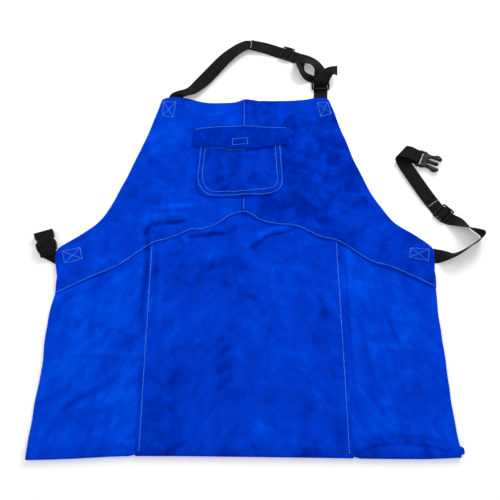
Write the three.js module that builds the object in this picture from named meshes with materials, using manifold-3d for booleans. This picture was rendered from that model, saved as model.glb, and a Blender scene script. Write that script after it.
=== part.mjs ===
import * as THREE from 'three';
import { mergeVertices } from 'three/addons/utils/BufferGeometryUtils.js';
import Module from 'manifold-3d';

// A split-leather work apron lying flat on a table: two bib panels, three skirt panels folded
// under at the bottom, a chest pocket with its flap, and black webbing straps with their buckles.
// Millimetres, +Z up. +X is the viewer's right, +Y runs from the skirt up to the neck.
// The modelling origin is on the table, on the centre line, level with the waist corners.

// Leather sizes
const LEATHER = 1.4;
const LAYER_GAP = 0.6;
const APRON_WIDTH = 600;
const BIB_TOP_WIDTH = 302;
const BIB_HEIGHT = 307;
const SKIRT_DROP = 325;
const TURN_UNDER = 155;

// The chevron seam between bib and skirt, from its apex down to the sides
const CHEVRON_APEX = 72;
const CHEVRON_DEPTH = 147;

// Seams: where the upper panel's edge runs, and how far the lower panel goes on under it
const SIDE_SEAM_LEFT = 152;
const SIDE_SEAM_RIGHT = 158;
const SIDE_SEAM_LAP = 14;
const CHEVRON_LAP = 14;
const BIB_SEAM = -1;
const BIB_SEAM_LAP = 19;
const RAMP = 10;
const CELL = 24;
const STACK = LEATHER + LAYER_GAP;

// The bottom fold is just wide enough for the side panels' own fold to lie inside it.
const INNER_RADIUS = LAYER_GAP / 2;
const FOLD_RADIUS = INNER_RADIUS + STACK;
const FOLD_STEPS = 5;
const FOLD_REACH = 48;
const FOLD_CALM = 14;
const CALM_FADE = 50;
const ROLL_OUT = 7;

// Pocket and flap
const POCKET_WIDTH = 148;
const POCKET_HEIGHT = 114;
const POCKET_CENTRE = -5;
const POCKET_BOTTOM = 101;
const POCKET_CORNER = 24;
const FLAP_WIDTH = 166;
const FLAP_TOP = 248;
const FLAP_HEIGHT = 42;
const FLAP_BELLY = 10;
const FLAP_OPEN = 2;
const FLAP_OPEN_FROM = 0.6;
const FLAP_DROOP = 6;

// Webbing and its hardware
const WEBBING_WIDTH = 25;
const WEBBING = 1.4;
const WEBBING_GAP = 0.5;
const FLOOR_GAP = 0.3;
const NECK_REACH = 120;
const WAIST_OUT = 85;
const WAIST_RISE = 190;
const TURN_STEPS = 6;

const SLOT_PLAY = 1.4;
const SLOT_WIDTH = WEBBING_WIDTH + SLOT_PLAY;
const SLOT_CORNER = 0.8;
const HARDWARE_CORNER = 3;
const SLIDER_LENGTH = 23;
const SLIDER_RAIL = 2.3;
const SLIDER_WIDTH = SLOT_WIDTH + 2 * SLIDER_RAIL;
const SLIDER_THICKNESS = 2.4;
const SLIDER_BAR = 2.5;
const SLIDER_CENTRE_BAR = 3.6;
const RING_LENGTH = 20;
const RING_RAIL = 3.3;
const RING_WIDTH = SLOT_WIDTH + 2 * RING_RAIL;
const RING_BAR = 3.2;

const BUCKLE_RAIL = 3.3;
const BUCKLE_WIDTH = SLOT_WIDTH + 2 * BUCKLE_RAIL;
const BUCKLE_THICKNESS = 9.6;
const SOCKET_WALL = 1.9;
const SOCKET_SIDE = 3.5;
const SOCKET_WIDTH = BUCKLE_WIDTH - 2 * SOCKET_SIDE;
const SOCKET_HEIGHT = BUCKLE_THICKNESS - 2 * SOCKET_WALL;
const SOCKET_DEPTH = 20;
const SOCKET_PLAY = 1;
const MALE_LENGTH = 41;
const MALE_THICKNESS = SOCKET_HEIGHT - SOCKET_PLAY;
const MALE_BAR = 3;
const FEMALE_LENGTH = 36;
const FEMALE_BAR = 3.4;
const FEMALE_BAR_HEIGHT = 4;
const BUCKLE_SLOT = 5.2;
const CUT_MARGIN = 1;

const HALF_WIDTH = APRON_WIDTH / 2;
const HALF_TOP = BIB_TOP_WIDTH / 2;

// The chevron seam: across is a share of half the apron's width, fall of the chevron's depth.
const CHEVRON = [
  { across: -0.977, fall: 1.0 },
  { across: -0.82, fall: 0.823 },
  { across: -0.667, fall: 0.667 },
  { across: -0.5, fall: 0.415 },
  { across: -0.367, fall: 0.306 },
  { across: -0.283, fall: 0.224 },
  { across: -0.223, fall: 0.224 },
  { across: -0.15, fall: 0.163 },
  { across: -0.063, fall: 0.034 },
  { across: 0, fall: 0 },
  { across: 0.04, fall: 0.027 },
  { across: 0.093, fall: 0.102 },
  { across: 0.2, fall: 0.163 },
  { across: 0.303, fall: 0.19 },
  { across: 0.423, fall: 0.313 },
  { across: 0.543, fall: 0.401 },
  { across: 0.683, fall: 0.605 },
  { across: 0.807, fall: 0.7 },
  { across: 1.017, fall: 0.918 },
];

// The bib's sides from the wing up to the neck: rise is the share of the panel's rows,
// out the share of the way from the bib's top corner to the waist, height of the bib's height.
const BIB_SIDES = [
  { rise: 0.06, left: 1.0, right: 1.054, height: -0.06 },
  { rise: 0.1, left: 1.0, right: 1.06, height: -0.01 },
  { rise: 0.13, left: 0.946, right: 1.02, height: 0.022 },
  { rise: 0.216, left: 0.765, right: 0.872, height: 0.085 },
  { rise: 0.3, left: 0.604, right: 0.691, height: 0.156 },
  { rise: 0.37, left: 0.497, right: 0.577, height: 0.231 },
  { rise: 0.464, left: 0.403, right: 0.443, height: 0.342 },
  { rise: 0.595, left: 0.282, right: 0.315, height: 0.502 },
  { rise: 0.73, left: 0.168, right: 0.221, height: 0.664 },
  { rise: 0.866, left: 0.06, right: 0.114, height: 0.834 },
  { rise: 1, left: -0.027, right: 0.027, height: 0.99 },
];

// The neck edge of the bib: across is a share of half the top width, sag of the bib's height.
const BIB_TOP = [
  { across: -0.973, sag: 0.004 },
  { across: -0.9, sag: -0.009 },
  { across: -0.7, sag: -0.003 },
  { across: -0.54, sag: 0.02 },
  { across: -0.39, sag: 0.032 },
  { across: -0.11, sag: 0.029 },
  { across: 0.0, sag: 0.01 },
  { across: 0.14, sag: 0.016 },
  { across: 0.72, sag: 0.019 },
  { across: 0.85, sag: 0.007 },
  { across: 0.99, sag: 0.007 },
  { across: 1.027, sag: 0.016 },
];

// The bottom fold: across is a share of half the width, dip of the skirt's drop.
const BOTTOM_FOLD = [
  { across: -1.0, dip: 0.01 },
  { across: -0.83, dip: 0.006 },
  { across: -0.55, dip: -0.006 },
  { across: -0.24, dip: -0.006 },
  { across: 0.32, dip: 0 },
  { across: 0.83, dip: 0.006 },
  { across: 1.03, dip: 0 },
];

// The skirt's side edges: down is the share of the way to the fold, out of half the width.
const SKIRT_SIDES = [
  { down: 0, left: 0, right: 0 },
  { down: 0.1, left: 0.01, right: -0.005 },
  { down: 0.35, left: 0.008, right: -0.009 },
  { down: 0.5, left: 0.001, right: -0.011 },
  { down: 0.65, left: 0.004, right: -0.009 },
  { down: 0.9, left: 0.004, right: -0.004 },
  { down: 1, left: 0, right: 0 },
];

// Swells and folds of the leather: x and along and across are shares of half the width,
// y of the bib's height above the waist and of the skirt's drop below it, height in leathers.
const SWELLS = [
  { x: -0.4, y: 0.215, along: 0.2, across: 0.055, bearing: 12, height: 5.5 },
  { x: -0.53, y: 0.16, along: 0.07, across: 0.05, bearing: 60, height: 3 },
  { x: 0.17, y: 0.09, along: 0.14, across: 0.035, bearing: 24, height: 3 },
  { x: 0.04, y: 0.01, along: 0.06, across: 0.04, bearing: 55, height: 2 },
  { x: -0.19, y: 0.115, along: 0.1, across: 0.03, bearing: -6, height: 1.6 },
  { x: 0.43, y: -0.31, along: 0.08, across: 0.04, bearing: 60, height: 1.8 },
  { x: -0.72, y: -0.35, along: 0.3, across: 0.2, bearing: 20, height: 3 },
  { x: 0.06, y: -0.3, along: 0.38, across: 0.25, bearing: 80, height: 3 },
  { x: 0.77, y: -0.42, along: 0.3, across: 0.18, bearing: -30, height: 3 },
  { x: 0.42, y: 0.44, along: 0.28, across: 0.14, bearing: 105, height: 3 },
  { x: -0.45, y: 0.6, along: 0.24, across: 0.12, bearing: 75, height: 2.6 },
  { x: -0.1, y: 0.9, along: 0.26, across: 0.09, bearing: 0, height: 1.4 },
];

// Straps: each row is one section of the band. Heading is the way that the band's width is
// square to, and roll tilts the width; both are degrees. Grow widens a section at a slanting
// fold. Heights are in webbing thicknesses. Steps are the sections up to the next row.
// Neck strap: across is a share of the span between its two ends, up of the loop's reach.
const NECK_LEG = [
  { across: -0.03, up: -0.36, z: 0.5, heading: 84, roll: 0, steps: 2 },
  { across: 0.0, up: -0.14, z: 0.5, heading: 84, roll: 0, steps: 1 },
  { across: 0.01, up: 0.04, z: 0.5, heading: 80, roll: 0, steps: 2 },
  { across: 0.05, up: 0.13, z: 3.5, heading: 52, roll: 14, steps: 3 },
  { across: 0.125, up: 0.18, z: 5.4, heading: 40, roll: 24, steps: 3 },
  { across: 0.212, up: 0.35, z: 6.4, heading: 53, roll: 22, steps: 4 },
  { across: 0.34, up: 0.705, z: 7.4, heading: 50, roll: 24, steps: 3 },
  { across: 0.408, up: 0.87, z: 5.8, heading: 42, roll: 20, steps: 3 },
  { across: 0.515, up: 0.99, z: 2.8, heading: 12, roll: 12, steps: 3 },
  { across: 0.637, up: 0.97, z: 0.8, heading: -14, roll: 3, steps: 2 },
  { across: 0.71, up: 0.925, z: 0.5, heading: -22, roll: 0, steps: 1 },
];
const NECK_INNER = [
  { across: 0.852, up: 0.79, z: 0.5, heading: -26, roll: 0, steps: 1 },
  { across: 0.88, up: 0.72, z: 0.5, heading: -52, roll: -8, steps: 2 },
  { across: 0.884, up: 0.6, z: 0.6, heading: -84, roll: -24, steps: 2 },
  { across: 0.897, up: 0.49, z: 0.6, heading: -72, roll: -24, steps: 2 },
  { across: 0.93, up: 0.4, z: 0.6, heading: -56, roll: -10, steps: 2 },
  { across: 0.975, up: 0.36, z: 0.6, heading: -70, roll: 0, steps: 1 },
];
const NECK_OUTER = [
  { across: 1.01, up: 0.37, z: 6, heading: -88, roll: 0, steps: 2 },
  { across: 1.0, up: 0.5, z: 6.2, heading: -80, roll: 0, steps: 2 },
  { across: 0.968, up: 0.64, z: 6.8, heading: -56, roll: 0, steps: 2 },
  { across: 0.915, up: 0.73, z: 5.6, heading: -36, roll: 0, steps: 2 },
  { across: 0.858, up: 0.785, z: 2.3, heading: -24, roll: 0, steps: 1 },
];
const NECK_TAIL = [
  { across: 0.705, up: 0.93, z: 2.1, heading: -21, roll: 0, steps: 1 },
  { across: 0.637, up: 0.97, z: 2.7, heading: -14, roll: 3, steps: 2 },
  { across: 0.56, up: 0.995, z: 3.9, heading: 2, roll: 9, steps: 1 },
];

// The short tab at the right of the bib: across is a share of the webbing's width.
const NECK_TAB = [
  { across: 0, up: -0.33, z: 0.5, heading: 90, roll: 0, steps: 2 },
  { across: 0.04, up: -0.02, z: 0.5, heading: 90, roll: 0, steps: 1 },
  { across: 0.08, up: 0.1, z: 0.5, heading: 90, roll: 0, steps: 1 },
  { across: 0.08, up: 0.18, z: 0.6, heading: 90, roll: 0, steps: 1 },
  { across: 0.08, up: 0.21, z: 1.8, heading: 90, roll: 0, steps: 1 },
  { across: 0.08, up: 0.225, z: 5, heading: 90, roll: 0, steps: 1 },
  { across: 0.18, up: 0.255, z: 8.8, heading: 78, roll: 0, steps: 2 },
  { across: 0.62, up: 0.36, z: 10.4, heading: 50, roll: 3, steps: 2 },
  { across: 1.36, up: 0.49, z: 12, heading: 40, roll: 6, steps: 1 },
];

// Waist strap from the wing: across is a share of its reach sideways, up of its rise.
const WAIST_SIDE = [
  { across: -0.56, up: -0.03, z: 0.5, heading: -5, roll: 0, steps: 2 },
  { across: -0.02, up: -0.055, z: 0.5, heading: -5, roll: 0, steps: 1 },
  { across: 0.1, up: -0.062, z: 0.5, heading: -4, roll: 0, steps: 2 },
  { across: 0.3, up: -0.07, z: 0.8, heading: 2, roll: 40, steps: 2 },
  { across: 0.46, up: -0.058, z: 0.8, heading: 16, roll: 66, steps: 3 },
  { across: 0.72, up: 0.016, z: 0.8, heading: 34, roll: 78, steps: 3 },
  { across: 0.93, up: 0.085, z: 0.8, heading: 40, roll: 82, steps: 2 },
  { across: 1.0, up: 0.13, z: 0.8, heading: 90, roll: 82, steps: 2 },
  { across: 0.955, up: 0.17, z: 0.8, heading: 138, roll: 80, steps: 2 },
  { across: 0.8, up: 0.215, z: 0.8, heading: 150, roll: 66, steps: 3 },
  { across: 0.62, up: 0.262, z: 0.8, heading: 146, roll: 38, steps: 3 },
  { across: 0.49, up: 0.287, z: 0.5, heading: 134, roll: 6, steps: 1 },
];
const WAIST_DIAGONAL = [
  { across: 0.19, up: 0.43, z: 0.6, heading: 130, roll: 0, steps: 2 },
  { across: 0.06, up: 0.522, z: 2, heading: 124, roll: 0, steps: 3 },
  { across: -0.165, up: 0.72, z: 2.6, heading: 118, roll: 0, steps: 3 },
  { across: -0.3, up: 0.85, z: 2.6, heading: 118, roll: 0, steps: 2 },
  { across: -0.375, up: 0.94, z: 5, heading: 136, roll: 0, grow: 1.15, steps: 1 },
  { across: -0.375, up: 0.96, z: 7.6, heading: 137, roll: 0, grow: 1.15, steps: 1 },
  { across: -0.34, up: 0.965, z: 9.6, heading: 142, roll: 0, grow: 1.1, steps: 2 },
  { across: -0.2, up: 0.955, z: 9, heading: 156, roll: 0, steps: 2 },
];
const WAIST_END = [
  { across: -0.08, up: 0.94, z: 0.5, heading: 157, roll: 0, steps: 1 },
  { across: -0.17, up: 0.955, z: 0.5, heading: 157, roll: 0, steps: 1 },
];

// The sewn tab under the left wing: across and up are shares of the webbing's width.
const BUCKLE_TAB = [
  { across: 1.2, up: 0.36, z: 0.5, heading: 195, roll: 0, steps: 2 },
  { across: 0.1, up: 0.07, z: 0.5, heading: 195, roll: 0, steps: 2 },
  { across: -0.56, up: -0.06, z: 0.9, heading: 238, roll: 0, grow: 1.36, steps: 1 },
  { across: -0.62, up: -0.05, z: 1.6, heading: 245, roll: 0, grow: 1.36, steps: 1 },
  { across: -0.75, up: 0.29, z: 1.5, heading: 286, roll: 0, grow: 1.01, steps: 1 },
];
const BUCKLE_TAB_END = [
  { across: -0.8, up: 0.43, z: 6.2, heading: 288, roll: 0, steps: 1 },
  { across: -0.72, up: 0.19, z: 4.6, heading: 288, roll: 0, steps: 1 },
];

// The buckles' outlines in plan: along is a share of the length from the strap's bar to the
// tips or the mouth, half a share of the buckle's width either side of the middle.
const MALE_OUTLINE = [
  { along: 0, half: 0.44 },
  { along: 0.04, half: 0.485 },
  { along: 0.29, half: 0.485 },
  { along: 0.36, half: 0.43 },
  { along: 0.44, half: 0.38 },
  { along: 0.64, half: 0.41 },
  { along: 0.72, half: 0.49 },
  { along: 0.84, half: 0.5 },
  { along: 0.98, half: 0.38 },
  { along: 1, half: 0.31 },
  { along: 0.94, half: 0.26 },
  { along: 0.8, half: 0.28 },
  { along: 0.6, half: 0.26 },
  { along: 0.46, half: 0.19 },
  { along: 0.4, half: 0.1 },
  { along: 0.84, half: 0.095 },
  { along: 0.91, half: 0.05 },
];
const FEMALE_OUTLINE = [
  { along: 0, half: 0.4 },
  { along: 0.05, half: 0.47 },
  { along: 0.32, half: 0.5 },
  { along: 0.44, half: 0.46 },
  { along: 0.49, half: 0.38 },
  { along: 0.56, half: 0.38 },
  { along: 0.61, half: 0.46 },
  { along: 0.94, half: 0.48 },
  { along: 1, half: 0.455 },
];

// Small helpers: numbers and tables

function mix(a, b, share) {
  return a + (b - a) * share;
}

function clamp01(value) {
  return Math.min(1, Math.max(0, value));
}

function smooth(value) {
  const t = clamp01(value);
  return t * t * (3 - 2 * t);
}

function radians(degrees) {
  return (degrees * Math.PI) / 180;
}

function spread(from, to, step) {
  const count = Math.max(1, Math.round(Math.abs(to - from) / step));
  return Array.from({ length: count + 1 }, (_, i) => mix(from, to, i / count));
}

// A smooth line through the rows of a table, read at one value of its first column.
function tableCurve(rows, from, to, value) {
  let i = 0;
  while (i < rows.length - 2 && value > rows[i + 1][from]) i += 1;
  const at = (k) => rows[Math.min(rows.length - 1, Math.max(0, k))];
  const [p0, p1, p2, p3] = [at(i - 1), at(i), at(i + 1), at(i + 2)];
  const width = p2[from] - p1[from];
  const t = clamp01((value - p1[from]) / width);
  const slope = (a, b) => ((b[to] - a[to]) / Math.max(b[from] - a[from], 1e-6)) * width;
  const m1 = slope(p0, p2);
  const m2 = slope(p1, p3);
  const t2 = t * t;
  const t3 = t2 * t;
  return (2 * t3 - 3 * t2 + 1) * p1[to] + (t3 - 2 * t2 + t) * m1 + (3 * t2 - 2 * t3) * p2[to] + (t3 - t2) * m2;
}

// The apron's outline

function chevronY(x) {
  return CHEVRON_APEX - CHEVRON_DEPTH * tableCurve(CHEVRON, 'across', 'fall', x / HALF_WIDTH);
}

function bibTopY(x) {
  return BIB_HEIGHT * (1 - tableCurve(BIB_TOP, 'across', 'sag', x / HALF_TOP));
}

// The axis of the bottom fold lies a fold's outer radius inside the skirt's lower line.
function foldAxisY(x) {
  const line = -SKIRT_DROP * (1 + tableCurve(BOTTOM_FOLD, 'across', 'dip', x / HALF_WIDTH));
  return line + FOLD_RADIUS + LEATHER;
}

const LEFT_EDGE = HALF_WIDTH * CHEVRON[0].across;
const RIGHT_EDGE = HALF_WIDTH * CHEVRON[CHEVRON.length - 1].across;
const LEFT_SEAM = -SIDE_SEAM_LEFT;
const RIGHT_SEAM = SIDE_SEAM_RIGHT;
const BIB_LAP_END = BIB_SEAM + BIB_SEAM_LAP;

// How far each upright line of the skirt moves sideways on its way down to the fold.
const SKIRT_DRIFT = [
  { x: LEFT_EDGE, shift: -0.027 * HALF_WIDTH },
  { x: LEFT_SEAM - RAMP, shift: 0.011 * HALF_WIDTH },
  { x: LEFT_SEAM + SIDE_SEAM_LAP + RAMP, shift: 0.011 * HALF_WIDTH },
  { x: 0, shift: 0 },
  { x: RIGHT_SEAM - SIDE_SEAM_LAP - RAMP, shift: -0.005 * HALF_WIDTH },
  { x: RIGHT_SEAM + RAMP, shift: -0.005 * HALF_WIDTH },
  { x: RIGHT_EDGE, shift: 0.008 * HALF_WIDTH },
];

function driftAt(x) {
  let i = 0;
  while (i < SKIRT_DRIFT.length - 2 && x > SKIRT_DRIFT[i + 1].x) i += 1;
  const [a, b] = [SKIRT_DRIFT[i], SKIRT_DRIFT[i + 1]];
  return mix(a.shift, b.shift, clamp01((x - a.x) / (b.x - a.x)));
}

// The upright lines that all panels share, given by their place on the chevron seam.
const COLUMNS = [
  ...spread(LEFT_EDGE, LEFT_SEAM - RAMP, CELL),
  LEFT_SEAM,
  LEFT_SEAM + SIDE_SEAM_LAP,
  ...spread(LEFT_SEAM + SIDE_SEAM_LAP + RAMP, BIB_SEAM, CELL),
  BIB_LAP_END,
  ...spread(BIB_LAP_END + RAMP, RIGHT_SEAM - SIDE_SEAM_LAP - RAMP, CELL),
  RIGHT_SEAM - SIDE_SEAM_LAP,
  RIGHT_SEAM,
  ...spread(RIGHT_SEAM + RAMP, RIGHT_EDGE, CELL),
];

const columnAt = (x) => COLUMNS.findIndex((value) => Math.abs(value - x) < 1e-6);
const COLUMN = {
  left: 0,
  leftSeam: columnAt(LEFT_SEAM),
  leftLap: columnAt(LEFT_SEAM + SIDE_SEAM_LAP),
  bibSeam: columnAt(BIB_SEAM),
  bibLap: columnAt(BIB_LAP_END),
  rightLap: columnAt(RIGHT_SEAM - SIDE_SEAM_LAP),
  rightSeam: columnAt(RIGHT_SEAM),
  right: COLUMNS.length - 1,
};

// The rows that all panels share, from the neck edge down to the fold.
const BIB_RISES = [1, 0.933, 0.866, 0.8, 0.73, 0.66, 0.595, 0.53, 0.464, 0.37, 0.3, 0.216, 0.13, 0.1, 0.06, 0];
const SKIRT_FALLS = [0, 0.1, 0.2, 0.3, 0.42, 0.54, 0.66, 0.77, 0.88, 1];
const HEM_RISES = [1, 0.82, 0.64, 0.46, 0.3, 0.2, 0.1, 0];

const ROWS = [
  ...BIB_RISES.map((rise) => ({ zone: 'bib', rise })),
  { zone: 'lap', above: CHEVRON_LAP },
  { zone: 'lap', above: 0 },
  ...SKIRT_FALLS.slice(1).map((fall) => ({ zone: 'skirt', fall })),
  ...HEM_RISES.map((rise) => ({ zone: 'hem', rise })),
];
const ROW = {
  top: 0,
  lapEnd: BIB_RISES.length,
  chevron: BIB_RISES.length + 1,
  hemTop: BIB_RISES.length + 1 + SKIRT_FALLS.length,
  fold: ROWS.length - 1,
};

function bibColumnTop(x) {
  if (x <= BIB_SEAM) {
    const share = (x - BIB_SEAM) / (LEFT_EDGE - BIB_SEAM);
    return mix(BIB_SEAM, HALF_TOP * BIB_TOP[0].across, share);
  }
  if (x <= BIB_LAP_END + RAMP) return x;
  const share = (x - BIB_LAP_END - RAMP) / (RIGHT_EDGE - BIB_LAP_END - RAMP);
  return mix(BIB_LAP_END + RAMP, HALF_TOP * BIB_TOP[BIB_TOP.length - 1].across, share);
}

// The side edge of the bib at one row, left or right, with its wing at the waist.
function bibSide(rise, side) {
  const edge = side === 'left' ? LEFT_EDGE : RIGHT_EDGE;
  const foot = { rise: 0, x: edge, y: chevronY(edge) + CHEVRON_LAP + RAMP };
  const rows = BIB_SIDES.map((row) => ({
    rise: row.rise,
    x: Math.sign(edge) * mix(HALF_TOP, HALF_WIDTH, row[side]),
    y: BIB_HEIGHT * row.height,
  }));
  const line = [foot, ...rows];
  let i = 0;
  while (i < line.length - 2 && rise > line[i + 1].rise) i += 1;
  const t = clamp01((rise - line[i].rise) / (line[i + 1].rise - line[i].rise));
  return [mix(line[i].x, line[i + 1].x, t), mix(line[i].y, line[i + 1].y, t)];
}

// The bib's side pulls the inner columns with it, less and less towards the centre seam.
function bibPoint(x, rise) {
  const side = x <= BIB_SEAM ? 'left' : 'right';
  const edge = side === 'left' ? LEFT_EDGE : RIGHT_EDGE;
  const inner = side === 'left' ? BIB_SEAM : BIB_LAP_END + RAMP;
  const pull = clamp01((x - inner) / (edge - inner));
  const foot = [x, chevronY(x) + CHEVRON_LAP + RAMP];
  const topX = bibColumnTop(x);
  const top = [topX, bibTopY(topX)];
  const edgeFoot = bibSide(0, side);
  const edgeTopX = bibColumnTop(edge);
  const edgeTop = [edgeTopX, bibTopY(edgeTopX)];
  const bowed = bibSide(rise, side);
  return [0, 1].map((k) => {
    const straight = mix(foot[k], top[k], rise);
    const bow = bowed[k] - mix(edgeFoot[k], edgeTop[k], rise);
    return straight + pull * bow * (rise < 1 ? 1 : 0);
  });
}

function skirtEdgeBow(x, down) {
  const side = x < 0 ? 'left' : 'right';
  const seam = x < 0 ? LEFT_SEAM - RAMP : RIGHT_SEAM + RAMP;
  const edge = x < 0 ? LEFT_EDGE : RIGHT_EDGE;
  const pull = clamp01((x - seam) / (edge - seam));
  return Math.sign(edge) * pull * HALF_WIDTH * tableCurve(SKIRT_SIDES, 'down', side, down);
}

// The place in plan of one crossing of the shared lines.
function crossing(column, row) {
  const x = COLUMNS[column];
  const line = ROWS[row];
  if (line.zone === 'bib') return bibPoint(x, line.rise);
  if (line.zone === 'lap') return [x, chevronY(x) + line.above];
  const foldX = x + driftAt(x);
  const chevron = chevronY(x);
  const hemTop = foldAxisY(foldX) + TURN_UNDER + RAMP;
  const y = line.zone === 'skirt' ? mix(chevron, hemTop, line.fall) : foldAxisY(foldX) + TURN_UNDER * line.rise;
  const down = (chevron - y) / (chevron - foldAxisY(foldX));
  return [mix(x, foldX, down) + skirtEdgeBow(x, down), y];
}

// Where the webbing leaves the leather, and the lines along which its ends are sewn under it.
const NECK_LEFT = { x: -0.83 * HALF_TOP, y: BIB_HEIGHT };
const NECK_RIGHT = { x: 0.925 * HALF_TOP, y: BIB_HEIGHT };
const NECK_SPAN = NECK_RIGHT.x - NECK_LEFT.x;
const WAIST_RIGHT = { x: RIGHT_EDGE, y: 0 };
const WAIST_LEFT = { x: LEFT_EDGE, y: -0.06 * BIB_HEIGHT };

// Out is how far the raised leather goes on past the edge, and layers the webbing under it there.
const SEWN_ENDS = [
  sewnEnd(NECK_LEG[0], NECK_LEFT, NECK_SPAN, NECK_REACH, { outX: 0, outY: 10, layers: 1 }),
  sewnEnd(NECK_TAB[0], NECK_RIGHT, WEBBING_WIDTH, NECK_REACH, { outX: 0, outY: 10, layers: 1 }),
  sewnEnd(WAIST_SIDE[0], WAIST_RIGHT, WAIST_OUT, WAIST_RISE, { outX: 8, outY: -11, layers: 1 }),
  sewnEnd(BUCKLE_TAB[0], WAIST_LEFT, 1.47 * WEBBING_WIDTH, 1.47 * WEBBING_WIDTH, {
    outX: -12,
    outY: -3,
    layers: 2.3,
  }),
];
const SEWN_CLEAR = (WEBBING_WIDTH / 2) * 2.48;
const SEWN_FADE = 26;
const SEWN_LIFT = FLOOR_GAP + WEBBING + LAYER_GAP * 0.75;

function sewnEnd(row, edge, width, height, { outX, outY, layers }) {
  return {
    x0: edge.x + row.across * width,
    y0: edge.y + row.up * height,
    x1: edge.x + outX,
    y1: edge.y + outY,
    layers,
  };
}

// How far a point is within the raised patch over each sewn end, and how far along that end.
function sewnShares(x, y) {
  return SEWN_ENDS.map((end) => {
    const [dx, dy] = [end.x1 - end.x0, end.y1 - end.y0];
    const t = clamp01(((x - end.x0) * dx + (y - end.y0) * dy) / (dx * dx + dy * dy));
    const away = Math.hypot(x - end.x0 - t * dx, y - end.y0 - t * dy);
    const share = smooth(1 - (away - SEWN_CLEAR) / SEWN_FADE);
    return { share, lift: SEWN_LIFT * share * mix(1, end.layers, smooth(t * 2 - 1)) };
  });
}

// The height of the leather's swells and folds over the table, none at the fold and the sewn ends.
function relief(x, y) {
  const sewn = Math.max(...sewnShares(x, y).map((end) => end.share));
  const settle = smooth((y + SKIRT_DROP - FOLD_CALM) / CALM_FADE) * (1 - sewn);
  const sum = SWELLS.reduce((total, swell) => {
    const cy = swell.y * (swell.y > 0 ? BIB_HEIGHT : SKIRT_DROP);
    const [dx, dy] = [x - swell.x * HALF_WIDTH, y - cy];
    const turn = radians(swell.bearing);
    const along = (dx * Math.cos(turn) + dy * Math.sin(turn)) / (swell.along * HALF_WIDTH);
    const across = (dy * Math.cos(turn) - dx * Math.sin(turn)) / (swell.across * HALF_WIDTH);
    return total + swell.height * LEATHER * Math.exp(-along * along - across * across);
  }, 0);
  return sum * settle;
}

// A wall of even thickness over a grid of paired points, closed round its four edges.
function wallGeometry(grid) {
  const rows = grid.length;
  const columns = grid[0].length;
  const positions = [];
  const indices = [];
  for (const face of ['over', 'under']) {
    for (const row of grid) row.forEach((pair) => positions.push(...pair[face]));
  }
  const over = (i, j) => i * columns + j;
  const under = (i, j) => rows * columns + i * columns + j;
  const quad = (a, b, c, d) => indices.push(a, b, c, a, c, d);
  for (let i = 0; i < rows - 1; i += 1) {
    for (let j = 0; j < columns - 1; j += 1) {
      quad(over(i, j), over(i + 1, j), over(i + 1, j + 1), over(i, j + 1));
      quad(under(i, j), under(i, j + 1), under(i + 1, j + 1), under(i + 1, j));
    }
  }
  for (let i = 0; i < rows - 1; i += 1) {
    quad(over(i, 0), under(i, 0), under(i + 1, 0), over(i + 1, 0));
    quad(over(i, columns - 1), over(i + 1, columns - 1), under(i + 1, columns - 1), under(i, columns - 1));
  }
  for (let j = 0; j < columns - 1; j += 1) {
    quad(over(0, j), over(0, j + 1), under(0, j + 1), under(0, j));
    quad(over(rows - 1, j), under(rows - 1, j), under(rows - 1, j + 1), over(rows - 1, j + 1));
  }
  const geometry = new THREE.BufferGeometry();
  geometry.setAttribute('position', new THREE.Float32BufferAttribute(positions, 3));
  geometry.setIndex(signedVolume(positions, indices) < 0 ? indices.reverse() : indices);
  return geometry;
}

function signedVolume(positions, indices) {
  const point = (k) => new THREE.Vector3().fromArray(positions, indices[k] * 3);
  let volume = 0;
  for (let k = 0; k < indices.length; k += 3) {
    volume += point(k).dot(point(k + 1).cross(point(k + 2))) / 6;
  }
  return volume;
}

// Leather panels of the bib

function level(x, y, z) {
  return { under: [x, y, z], over: [x, y, z + LEATHER] };
}

function isSideLap(column) {
  return [COLUMN.leftSeam, COLUMN.leftLap, COLUMN.rightLap, COLUMN.rightSeam].includes(column);
}

// The leather's own height at a place: its swells, and what the sewn webbing under it lifts.
function raised(x, y) {
  return Math.max(...sewnShares(x, y).map((end) => end.lift)) + relief(x, y);
}

// What lifts the bib off the table: the skirt's allowance, the side seams and sewn webbing.
function bibBase(column, row, x, y) {
  const overSkirt = row >= ROW.lapEnd ? STACK * (isSideLap(column) ? 2 : 1) : 0;
  return overSkirt + raised(x, y);
}

function bibPanel(from, to, lapped) {
  const grid = [];
  for (let row = ROW.top; row <= ROW.chevron; row += 1) {
    const line = [];
    for (let column = from; column <= to; column += 1) {
      const [x, y] = crossing(column, row);
      line.push(level(x, y, bibBase(column, row, x, y) + (lapped.includes(column) ? STACK : 0)));
    }
    grid.push(line);
  }
  return wallGeometry(grid);
}

// Leather panels of the skirt. Each runs from under the bib down to the fold, round it, and
// back under itself; beside a side seam the lower panel's loop lies inside the upper one's.

const FOLD_AXIS_Z = LEATHER + FOLD_RADIUS;
const RETURN_SHARES = [1 / 12, 1 / 6, 0.45, 0.72, 1];
const ROLL_SHARE = 1 / 6;

function foldRise(distance) {
  return (FOLD_AXIS_Z + FOLD_RADIUS - STACK) * (1 - smooth(distance / FOLD_REACH));
}

function skirtHeight(column, row, x, y, isCentre) {
  const inHem = row >= ROW.hemTop;
  const lap = isSideLap(column);
  if (inHem && lap) return relief(x, y) + STACK * (isCentre ? 3 : 2);
  const seam = lap && isCentre ? STACK : 0;
  if (!inHem) return relief(x, y) + seam;
  const foldX = COLUMNS[column] + driftAt(COLUMNS[column]);
  return relief(x, y) + STACK + foldRise(y - foldAxisY(foldX));
}

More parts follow.
